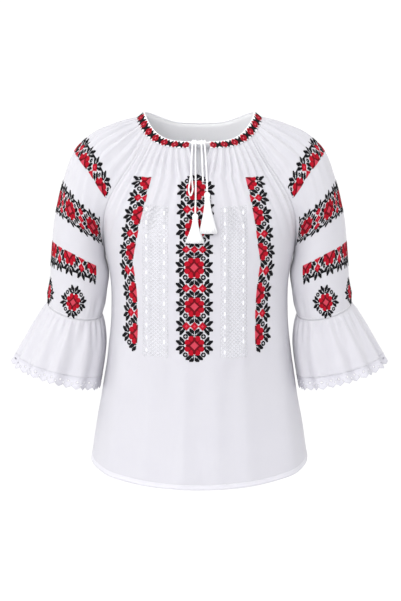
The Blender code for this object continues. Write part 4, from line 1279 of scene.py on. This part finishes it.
def make_tassel(side):
    """A tassel's wound head and its skirt of strands, as two pieces."""
    tassel = TASSELS[side]
    trim = bpy.context.scene.blouse_trim
    known, radii = zip(*TASSEL_HEAD)
    down = np.linspace(0.0, known[-1], 34)
    share = down / tassel.length
    line = np.stack([tassel.x + (tassel.bottom_x - tassel.x) * share,
                     tassel_depth(tassel, down), tassel.top_z - down], axis=-1)
    wound = 1.0 + 0.07 * np.abs(np.sin(np.pi * down / 1.5)) * (down > 7.0)
    head = [rings_round(line, np.interp(down, known, radii) * wound, 20, lobes=20,
                        pitch=60.0, lobe_depth=0.10)]
    head_piece = make_sweeps(f"tassel_{side}_head", head, cord_finish())
    count = trim.strands
    number = np.arange(count)
    turn = number * GOLDEN_ANGLE
    ring = np.sqrt((number + 0.5) / count)
    along = np.linspace(0.0, 1.0, 7)
    reach = tassel.length - SKIRT_START - 2.2 * np.abs(np.sin(TIP_SCATTER * number)) * ring
    drop = SKIRT_START + along[None] * reach[:, None]
    spread = SKIRT_WAIST + (tassel.spread - SKIRT_WAIST) * ease(along * SKIRT_FLARE) / ease(SKIRT_FLARE)
    sway = 0.5 * np.sin(number * 1.7)[:, None] * np.sin(along * 5.0 + number[:, None])
    x = tassel.x + (tassel.bottom_x - tassel.x) * drop / tassel.length
    x = x + (ring * np.cos(turn))[:, None] * (spread[None] - 0.6) + sway
    deep = SKIRT_WAIST + (spread[None] - SKIRT_WAIST) * SKIRT_FLATNESS
    y = tassel_depth(tassel, drop) + (ring * np.sin(turn))[:, None] * deep
    lines = np.stack([x, y, tassel.top_z - drop], axis=-1)
    radius = STRAND_RADIUS * (1.0 + 0.6 * along)
    strands = [rings_round(line, radius, 4) for line in lines]
    skirt = make_sweeps(f"tassel_{side}_strands", strands, cord_finish())
    for piece in (head_piece, skirt):
        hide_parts(f"tassel_{side}")
    return head_piece


def hang_cord(part, route, fittings):
    """One length of the drawstring, made as a cord along its route in place of its solid."""
    radius = bpy.context.scene.blouse_trim.cord_radius / MM
    cord, line = make_cord(f"drawstring_{part}", route, radius)
    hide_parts(f"cord_{part}")


def make_drawstring():
    """The knot, both free ends with their tassels, and both loops."""
    make_knot()
    for side, route in (("left", CORD_END_LEFT), ("right", CORD_END_RIGHT)):
        hang_cord(f"end_{side}", route, [make_tassel(side)])
    for side, route in (("left", CORD_LOOP_LEFT), ("right", CORD_LOOP_RIGHT)):
        hang_cord(f"loop_{side}", route, [])


def make_cloth(node, panel, shares, runs, split=None, joined=None):
    """A panel of cotton in place of its solid."""
    # The inner skin is drawn in the lighter cotton: painted light on the shaded inside.
    cloth = make_panel(f"{node}_cloth", panel, shares, runs,
                       bpy.context.scene.blouse_cloth.wall / MM, [cotton(), cotton_painted_light()],
                       split=split, joined=joined)
    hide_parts(node)


FRONT_HALF_COLUMNS = 109
BACK_COLUMNS = 181
SLEEVE_COLUMNS = 161
FLOUNCE_COLUMNS = 289


def make_body_cloth():
    """The front, split above the slit's foot, and the back."""
    half = np.linspace(0.0, 1.0, FRONT_HALF_COLUMNS)
    half[0] = 1e-9
    shares = np.concatenate([-half[::-1], half])
    runs = rows_between((0.0, 2.2), (30.0, 3.2), (SLIT_RUN, 4.0), (230.0, 6.5), (560.0, 3.0),
                        (HEM_RUN, 3.0))
    make_cloth("front", FRONT, shares, runs, split=SLIT_RUN)
    runs = rows_between((0.0, 2.6), (30.0, 4.0), (150.0, 8.0), (560.0, 3.5), (HEM_RUN, 3.5))
    shares = np.linspace(-1.0, 1.0, BACK_COLUMNS)
    make_cloth("back", BACK, shares, runs)


def make_sleeves():
    """Both sleeves: open at the raglan seams, tubes below the underarm."""
    runs = rows_between((0.0, 2.6), (30.0, 4.0), (UNDERARM_RUN, 5.0), (290.0, 2.6),
                        (ELBOW_RUN, 2.6))
    shares = np.linspace(-1.0, 1.0, SLEEVE_COLUMNS)
    for side, panel in SLEEVES.items():
        make_cloth(f"sleeve_{side}", panel, shares, runs,
                   joined=UNDERARM_RUN)


def make_flounces():
    """Both flounces: flared rings that hang in waves from the elbow seams."""
    runs = rows_between((ELBOW_RUN, 1.8), (346.0, 3.6), (FLOUNCE_END, 3.6))
    shares = np.linspace(-1.0, 1.0, FLOUNCE_COLUMNS)
    for side, panel in FLOUNCES.items():
        make_cloth(f"flounce_{side}", panel, shares, runs,
                   joined=0.0)


LACE_START = FLOUNCE_END - 0.6
LACE_INSET = -0.25
LACE_WALL = 0.7
LACE_COLUMNS = 16
LACE_ROWS = 15
LaceHole = namedtuple("LaceHole", "across along half_width half_height")
LACE_HOLES = (
    LaceHole(0.5, 0.40, 0.125, 0.085),
    LaceHole(0.0, 0.60, 0.090, 0.062),
    LaceHole(1.0, 0.60, 0.090, 0.062),
)
SCALLOP_NOTCH = 0.74


def scallop_reach(repeats):
    """How far down the lace reaches: to its end at a scallop's point, less at a notch."""
    point = 1.0 - np.abs(2.0 * (repeats % 1.0) - 1.0)
    return SCALLOP_NOTCH + (1.0 - SCALLOP_NOTCH) * point ** 0.8


def lace_place(repeats, along):
    """The share and the run of a place in the lace's pattern."""
    return 2.0 * repeats / LACE_REPEATS - 1.0, LACE_START + along * (LACE_END - LACE_START)


def lace_grid():
    """The lace's shares and runs, pulled onto the holes' rims, and which faces lie in a hole."""
    count = LACE_REPEATS * LACE_COLUMNS
    across, along = np.meshgrid(np.arange(count + 1) / LACE_COLUMNS,
                                np.linspace(0.0, 1.0, LACE_ROWS + 1))
    part = across % 1.0
    cut = np.zeros((LACE_ROWS, count), dtype=bool)
    moved_x, moved_y = across.copy(), along.copy()
    for hole in LACE_HOLES:
        x = (part - hole.across) / hole.half_width
        y = (along - hole.along) / hole.half_height
        radius = np.maximum(np.hypot(x, y), 1e-6)
        near = np.abs(radius - 1.0) < 0.34
        moved_x = np.where(near, across + x * (1.0 / radius - 1.0) * hole.half_width, moved_x)
        moved_y = np.where(near, along + y * (1.0 / radius - 1.0) * hole.half_height, moved_y)
        middle_x = (part[:-1, :-1] + 0.5 / LACE_COLUMNS - hole.across) / hole.half_width
        middle_y = (along[:-1, :-1] + 0.5 / LACE_ROWS - hole.along) / hole.half_height
        cut |= np.hypot(middle_x, middle_y) < 0.88
    squeeze = ease((moved_y - 0.70) / 0.30)
    moved_y = moved_y * (1.0 - squeeze * (1.0 - scallop_reach(moved_x)))
    return *lace_place(moved_x, moved_y), cut


def make_lace():
    """Both lace edges: a scalloped strip with its eyelets cut through and corded rims."""
    share, run, cut = lace_grid()
    columns = share.shape[1] - 1
    numbers = np.arange(share.size).reshape(share.shape)
    ids = numbers.copy()
    ids[:, -1] = ids[:, 0]
    keep = ~cut.ravel()
    for side, panel in FLOUNCES.items():
        outer, normals = cloth_point(panel, share, run, out=LACE_INSET)
        uv = np.stack([flat_lengths(outer), run * MM], axis=-1)
        lace = make_wall(f"lace_{side}_net", outer, outer - normals * LACE_WALL, uv,
                         quads_of(ids)[keep], quads_of(numbers)[keep], [lace_finish()],
                         flip=panel.left)
        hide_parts(f"lace_{side}_front", f"lace_{side}_back")
        cords = make_lace_cords(side, panel, columns)


def make_lace_cords(side, panel, columns):
    """The lace's raised threads: a heading line, a rim round each eyelet, the scalloped edge."""
    sweeps = []
    turn = np.linspace(0.0, 2 * np.pi, 15)
    for repeat in range(LACE_REPEATS):
        for hole, radius in zip(LACE_HOLES[:2], (0.55, 0.45)):
            x = repeat + hole.across + (hole.half_width + 0.02) * np.cos(turn)
            y = hole.along + (hole.half_height + 0.02) * np.sin(turn)
            sweeps.append(lace_thread(panel, x, y, radius, 4, closed=True))
    for depth, radius in ((0.03, 0.7), (0.17, 0.5)):
        x = np.linspace(0.0, LACE_REPEATS, columns // 2 + 1)
        sweeps.append(lace_thread(panel, x, np.full_like(x, depth), radius, 5))
    x = np.linspace(0.0, LACE_REPEATS, columns + 1)
    sweeps.append(lace_thread(panel, x, scallop_reach(x) - 0.01, 0.65, 5))
    return make_sweeps(f"lace_{side}_cords", sweeps, lace_finish())


def lace_thread(panel, x, y, radius, sides, closed=False):
    """One raised thread along a line of the lace's pattern."""
    share, run = lace_place(x, y)
    share = np.where(share > 1.0, share - 2.0, share)
    line, normals = cloth_point(panel, share, run, out=LACE_INSET)
    way = unit(np.gradient(line, axis=0))
    if closed:
        way[0] = way[-1] = unit(line[1] - line[-2])
    return tube_round(line, np.cross(normals, way), normals, radius, sides)


def lace_finish():
    """Cotton lace: the same yarn, worked close, with a coarser texture than the cloth."""
    return finish("cotton_lace", cloth_material, tuple(bpy.context.scene.blouse_trim.lace),
                  *LACE_LOOK)


# Whitework: two pairs of lines of raised dots, with a mesh of fine thread between each pair
WHITE_PAIRS = ((-86.6, -57.4), (41.2, 71.4))
WHITE_TOP_RUN = 131.0
WHITE_END_RUN = 366.0
DOT_PITCH = 21.0
DOT_STAGGER = 5.0
DOT_SIDES = 10
DOT_HALF_WIDTH = 1.7
DOT_HALF_HEIGHT = 3.8
DOT_RINGS = ((1.0, -0.1), (0.92, 0.25), (0.62, 0.50), (0.22, 0.62))
MESH_STEP = 3.2
MESH_BEYOND = 6.0
MESH_WIDTH = 1.9
MESH_CREST = 0.08
DASH_WIDTH = 0.7
DASH_CREST = 0.25
SLIT_DASH_SHARE = 0.022
ELBOW_DASH_RISE = 3.4


def shares_at(x, runs):
    """Shares of the front's points that lie at a width x in millimetres, run by run."""
    shares = np.linspace(-1.0, 1.0, 241)
    across, down = np.meshgrid(shares, runs)
    widths = front_place(across.ravel(), down.ravel())[:, 0].reshape(across.shape)
    return np.array([np.interp(x, row, shares) for row in widths])


RIDGE_RUNS = np.linspace(100.0, 450.0, 36)


@functools.lru_cache
def ridge_shares(x):
    """The shares at a width x, down the front."""
    return shares_at(x, RIDGE_RUNS)


def make_white_bars(name, bars, material):
    """Several rows of white threads as one piece."""
    bars = np.concatenate(bars)
    make_bars(name, bars, np.zeros(len(bars), dtype=int), [material])


def white_dots():
    """The satin-stitch dots: oval domes in rings, on each of the four lines."""
    dots = []
    turn = turns(DOT_SIDES)[:, None]
    lines = [(x, DOT_STAGGER * place) for pair in WHITE_PAIRS for place, x in enumerate(pair)]
    for x, offset in lines:
        runs = np.arange(WHITE_TOP_RUN + offset, WHITE_END_RUN, DOT_PITCH)
        points, normals = cloth_point(FRONT, shares_at(x, runs), runs)
        for point, normal in zip(points, normals):
            aside = unit(np.cross(normal, (0.0, 0.0, 1.0)))
            above = np.cross(aside, normal)
            oval = (DOT_HALF_WIDTH * np.cos(turn) * aside
                    + DOT_HALF_HEIGHT * np.sin(turn) * above)
            dots.append(np.stack([point + normal * height + reach * oval
                                  for reach, height in DOT_RINGS]))
    return dots


def mesh_bars():
    """The mesh's threads: zigzags down each strip, in mirrored pairs on every other column."""
    bars = []
    runs = np.arange(WHITE_TOP_RUN - MESH_BEYOND, WHITE_END_RUN + MESH_BEYOND, MESH_STEP)
    odd = np.arange(len(runs)) % 2
    for first, last in WHITE_PAIRS:
        first, last = first - MESH_BEYOND, last + MESH_BEYOND
        count = round((last - first) / (2 * MESH_STEP)) * 2
        x = np.linspace(first, last, count + 1)
        share = np.array([shares_at(place, runs) for place in x]).T
        points, normals = cloth_point(FRONT, share, np.repeat(runs[:, None], count + 1, axis=1))
        for column in range(0, count + 1, 2):
            for aside in (-1, 1):
                place = column + aside * odd
                lower, upper = np.minimum(place[:-1], place[1:]), np.maximum(place[:-1], place[1:])
                rows = np.nonzero((lower >= 0) & (upper <= count))[0]
                bars.append(bars_between(points[rows, place[rows]],
                                         points[rows + 1, place[rows + 1]],
                                         normals[rows, place[rows]], MESH_WIDTH, MESH_CREST))
    return bars


def make_whitework():
    """White satin-stitch dots, and a mesh of fine thread between their lines."""
    make_sweeps("whitework_dots", white_dots(), thread("white"))
    make_white_bars("whitework_zigzag", mesh_bars(), mesh_thread())


def seam_dashes(panel, shares, runs):
    """Running stitches along a line of a panel: every other step of the line is a thread."""
    points, normals = cloth_point(panel, shares, runs)
    start, end = points[0:-1:2], points[1::2]
    count = min(len(start), len(end))
    return bars_between(start[:count], end[:count], normals[0:-1:2][:count], DASH_WIDTH,
                        DASH_CREST)


def make_seam_stitches():
    """The hem's, the slit's and the elbow seams' rows of small white stitches."""
    bars = []
    shares = np.linspace(-0.99, 0.99, 321)
    level = np.full_like(shares, HEM_RUN - HEM_TURN)
    for panel in (FRONT, BACK):
        bars.append(seam_dashes(panel, shares, level))
    runs = np.linspace(4.0, SLIT_RUN - 3.0, 61)
    for side in (-1.0, 1.0):
        bars.append(seam_dashes(FRONT, np.full_like(runs, side * SLIT_DASH_SHARE), runs))
    shares = np.linspace(-1.0, 1.0, 241)
    for panel in SLEEVES.values():
        bars.append(seam_dashes(panel, shares,
                                np.full_like(shares, ELBOW_RUN - ELBOW_DASH_RISE)))
    make_white_bars("seam_stitches", bars, thread("white"))


FLOOR_SIDES = 96
FLOOR_RADII = (0.4, 2.0, 8.0, 30.0)
CAMERA_PLACE = (0.0017, -3.4, -0.08)
CAMERA_TILT = 86.0
Light = namedtuple("Light", "name size place aim colour")
LIGHTS = (
    Light("key", 3.0, (-2.5, -2.1, 3.3), (0.0, 0.0, -0.3), (1.0, 0.995, 0.985)),
    Light("fill", 3.0, (3.0, -2.4, 0.4), (0.0, 0.0, -0.3), (0.98, 0.99, 1.0)),
    Light("front", 2.0, (-1.2, -3.4, 0.7), (0.0, 0.0, -0.1), (1.0, 1.0, 1.0)),
)


def make_floor():
    """A plain pale floor far larger than the view, duller below the blouse to light it less."""
    stage = bpy.context.scene.blouse_stage
    turn = turns(FLOOR_SIDES)
    radii = np.array(FLOOR_RADII)[:, None]
    x, y = radii * np.cos(turn), radii * np.sin(turn)
    rings = np.stack([x, y, np.full_like(x, stage.floor_height)], axis=-1)
    ids = np.arange(x.size).reshape(x.shape)
    quads = quads_of(np.concatenate([ids, ids[:, :1]], axis=1))
    material, tree = empty_material("matt_studio_floor")
    place = add_node(tree, "ShaderNodeTexCoord").outputs["Object"]
    grain = add_node(tree, "ShaderNodeTexNoise", {"Scale": 300.0}, {"Vector": place})
    bump = add_node(tree, "ShaderNodeBump", {"Strength": 0.1, "Distance": 0.0003},
                    {"Height": grain.outputs["Fac"]})
    reach = add_node(tree, "ShaderNodeVectorMath", {}, {0: place}, operation="LENGTH")
    fade = add_node(tree, "ShaderNodeMapRange", {"From Min": 2.0, "From Max": 3.2},
                    {"Value": reach.outputs["Value"]}, interpolation_type="SMOOTHSTEP")
    shade = add_node(tree, "ShaderNodeMix", {6: tuple(stage.floor_near), 7: tuple(stage.floor)},
                     {0: fade.outputs["Result"]}, data_type="RGBA")
    shader = add_node(tree, "ShaderNodeBsdfPrincipled", {"Roughness": 0.9}, {
        "Base Color": shade.outputs[2], "Normal": bump.outputs["Normal"]})
    add_node(tree, "ShaderNodeOutputMaterial", {}, {"Surface": shader.outputs["BSDF"]})
    mesh = bpy.data.meshes.new("studio_floor")
    faces = quads.tolist() + [ids[0, ::-1].tolist()]
    mesh.from_pydata(rings.reshape(-1, 3).tolist(), [], faces)
    mesh.materials.append(material)
    floor = bpy.data.objects.new("studio_floor", mesh)
    bpy.context.scene.collection.objects.link(floor)


def make_light(row):
    """A soft square light at a place in metres, turned towards another."""
    light = bpy.data.lights.new(f"{row.name}_light", "AREA")
    light.energy = getattr(bpy.context.scene.blouse_stage, row.name)
    light.size = row.size
    light.color = row.colour
    item = bpy.data.objects.new(f"{row.name}_light", light)
    item.location = row.place
    way = mathutils.Vector(row.aim) - mathutils.Vector(row.place)
    item.rotation_euler = way.to_track_quat("-Z", "Y").to_euler()
    bpy.context.scene.collection.objects.link(item)


def make_camera():
    """The camera at the photograph's place: level with the chest, looking 4 degrees down."""
    stage = bpy.context.scene.blouse_stage
    lens = bpy.data.cameras.new("photo_camera")
    lens.lens = stage.lens
    lens.sensor_width = 36.0
    lens.clip_start = 0.05
    lens.clip_end = 100.0
    camera = bpy.data.objects.new("photo_camera", lens)
    camera.location = CAMERA_PLACE
    camera.rotation_euler = (math.radians(CAMERA_TILT), 0.0, 0.0)
    bpy.context.scene.collection.objects.link(camera)
    bpy.context.scene.camera = camera


def make_world():
    """An even, nearly white surround."""
    stage = bpy.context.scene.blouse_stage
    world = bpy.data.worlds.new("studio_surround")
    world.use_nodes = True
    background = world.node_tree.nodes["Background"]
    background.inputs["Color"].default_value = tuple(stage.surround)
    background.inputs["Strength"].default_value = stage.surround_strength
    bpy.context.scene.world = world
    bpy.context.scene.view_settings.view_transform = "Standard"


def colour(name, description, shade):
    """A colour setting, with its default as an sRGB hex value."""
    return bpy.props.FloatVectorProperty(
        name=name, description=description, size=4, subtype="COLOR", min=0.0, max=1.0,
        default=linear(shade))


def power(name, description, watts):
    """A light's power setting."""
    return bpy.props.FloatProperty(
        name=name, description=description, default=watts, min=0.0, unit="POWER")


class BLOUSE_PG_cloth(bpy.types.PropertyGroup):
    """The blouse's cotton."""
    wall: bpy.props.FloatProperty(
        name="Cloth thickness", description="Thickness of the cotton as it is drawn",
        default=0.0009, min=0.0003, max=0.0016, precision=4, unit="LENGTH")
    cotton: colour("Cotton", "Colour of the bleached cotton", "#c9c8cd")
    # This colour is painted light: lighter than the cotton, it stands in for daylight through the cloth
    # on the shaded inside and on the neck band.
    inside: colour("Inner face painted light", "Lighter cotton that paints light on the inner face and the neck band", "#f6f6fb")


class BLOUSE_PG_stitching(bpy.types.PropertyGroup):
    """The colours of the stranded cotton."""
    red: colour("Red", "Petals and diamonds", "#ba0d27")
    dark_red: colour("Dark red", "Lines between the petals", "#6e0616")
    pink: colour("Pink", "Middles of the roses", "#d04659")
    black: colour("Black", "Leaves and squares", "#0e0d12")
    white: colour("White", "Whitework and seams", "#f1f1f6")
    mesh: colour("Mesh", "Mesh between the white dots", "#dedee4")


class BLOUSE_PG_trim(bpy.types.PropertyGroup):
    """The drawstring, the tassels and the lace."""
    cord_radius: bpy.props.FloatProperty(
        name="Cord radius", description="Half the drawstring's thickness",
        default=0.0014, min=0.0008, max=0.002, precision=4, unit="LENGTH")
    strands: bpy.props.IntProperty(
        name="Strands", description="Strands in each tassel", default=230, min=30, max=300)
    cord: colour("Cord", "Colour of the drawstring and the tassels", "#f4f3f7")
    lace: colour("Lace", "Colour of the lace", "#cfced5")


class BLOUSE_PG_stage(bpy.types.PropertyGroup):
    """The floor, the surround, the lights and the camera."""
    lens: bpy.props.FloatProperty(
        name="Lens", description="Focal length in millimetres", default=120.1, min=20.0,
        max=300.0)
    floor_height: bpy.props.FloatProperty(
        name="Floor height", description="Height of the floor below the neck", default=-1.6,
        unit="LENGTH")
    key: power("Key light", "Power of the upper left light", 40.0)
    fill: power("Fill light", "Power of the light from the right", 5.0)
    front: power("Front light", "Power of the light above the camera", 56.0)
    surround_strength: bpy.props.FloatProperty(
        name="Surround strength", description="Brightness of the surround", default=1.04,
        min=0.0)
    floor_near: colour("Floor below the blouse", "Colour of the floor near the blouse", "#c4c4c8")
    floor: colour("Floor", "Colour of the floor", "#fefefe")
    surround: colour("Surround", "Colour of the surround", "#ffffff")


class BLOUSE_OT_stage(bpy.types.Operator):
    """Make the camera, the floor, the surround and the lights."""
    bl_idname = "blouse.stage"
    bl_label = "Stage"

    def execute(self, context):
        make_camera()
        make_world()
        make_floor()
        for row in LIGHTS:
            make_light(row)
        return {"FINISHED"}


class BLOUSE_OT_drawstring(bpy.types.Operator):
    """Make the knot, the cords and the tassels."""
    bl_idname = "blouse.drawstring"
    bl_label = "Drawstring and tassels"

    def execute(self, context):
        make_drawstring()
        return {"FINISHED"}


class BLOUSE_OT_body(bpy.types.Operator):
    """Make the front's and the back's cloth."""
    bl_idname = "blouse.body"
    bl_label = "Front and back"

    def execute(self, context):
        make_body_cloth()
        return {"FINISHED"}


class BLOUSE_OT_sleeves(bpy.types.Operator):
    """Make the sleeves' cloth."""
    bl_idname = "blouse.sleeves"
    bl_label = "Sleeves"

    def execute(self, context):
        make_sleeves()
        return {"FINISHED"}


class BLOUSE_OT_flounces(bpy.types.Operator):
    """Make the flounces' cloth."""
    bl_idname = "blouse.flounces"
    bl_label = "Flounces"

    def execute(self, context):
        make_flounces()
        return {"FINISHED"}


class BLOUSE_OT_lace(bpy.types.Operator):
    """Make the lace edges."""
    bl_idname = "blouse.lace"
    bl_label = "Lace"

    def execute(self, context):
        make_lace()
        return {"FINISHED"}


class BLOUSE_OT_neck_band(bpy.types.Operator):
    """Make the neck band and its crosses."""
    bl_idname = "blouse.neck_band"
    bl_label = "Neck band"

    def execute(self, context):
        band = make_neck_band()
        crosses = make_band_crosses()
        for piece in (band, crosses):
            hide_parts("neck_band")
        make_neck_facing()
        return {"FINISHED"}


class BLOUSE_OT_cross_stitch(bpy.types.Operator):
    """Make the crosses on the front and the sleeves."""
    bl_idname = "blouse.cross_stitch"
    bl_label = "Cross-stitch"

    def execute(self, context):
        found = {"front_crosses": front_crosses()}
        for side, panel in SLEEVES.items():
            found[f"sleeve_{side}_crosses"] = sleeve_crosses(panel)
            found[f"sleeve_{side}_medallions"] = medallion_crosses(panel)
        for name, (bars, numbers) in found.items():
            make_bars(name, bars, numbers, threads())
        return {"FINISHED"}


class BLOUSE_OT_whitework(bpy.types.Operator):
    """Make the white dots, the mesh between them and the seams' stitches."""
    bl_idname = "blouse.whitework"
    bl_label = "Whitework and seams"

    def execute(self, context):
        make_whitework()
        make_seam_stitches()
        return {"FINISHED"}


GROUPS = (
    ("blouse_cloth", BLOUSE_PG_cloth), ("blouse_stitching", BLOUSE_PG_stitching),
    ("blouse_trim", BLOUSE_PG_trim), ("blouse_stage", BLOUSE_PG_stage))
OPERATORS = (
    BLOUSE_OT_stage, BLOUSE_OT_drawstring, BLOUSE_OT_body, BLOUSE_OT_sleeves,
    BLOUSE_OT_flounces, BLOUSE_OT_lace, BLOUSE_OT_neck_band, BLOUSE_OT_cross_stitch,
    BLOUSE_OT_whitework)


class BLOUSE_PT_panel(bpy.types.Panel):
    """The blouse's settings and steps."""
    bl_idname = "BLOUSE_PT_panel"
    bl_label = "Folk blouse"
    bl_space_type = "VIEW_3D"
    bl_region_type = "UI"
    bl_category = "Blouse"

    def draw(self, context):
        layout = self.layout
        for name, group in GROUPS:
            settings = getattr(context.scene, name)
            box = layout.box()
            for setting in group.__annotations__:
                box.prop(settings, setting)
        for operator in OPERATORS:
            layout.operator(operator.bl_idname)


def register():
    """Registers the settings, the steps and the panel."""
    for name, group in GROUPS:
        bpy.utils.register_class(group)
        setattr(bpy.types.Scene, name, bpy.props.PointerProperty(type=group))
    for operator in OPERATORS:
        bpy.utils.register_class(operator)
    bpy.utils.register_class(BLOUSE_PT_panel)


def unregister():
    """Takes them away again, last ones first."""
    bpy.utils.unregister_class(BLOUSE_PT_panel)
    for operator in reversed(OPERATORS):
        bpy.utils.unregister_class(operator)
    for name, group in reversed(GROUPS):
        delattr(bpy.types.Scene, name)
        bpy.utils.unregister_class(group)


def main():
    """Runs every step in order."""
    register()
    for operator in OPERATORS:
        step = getattr(bpy.ops.blouse, operator.bl_idname.split(".")[1])
        if step() != {"FINISHED"}:
            raise RuntimeError(f"{operator.bl_label} wasn't made")
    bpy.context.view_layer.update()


if __name__ == "__main__":
    main()
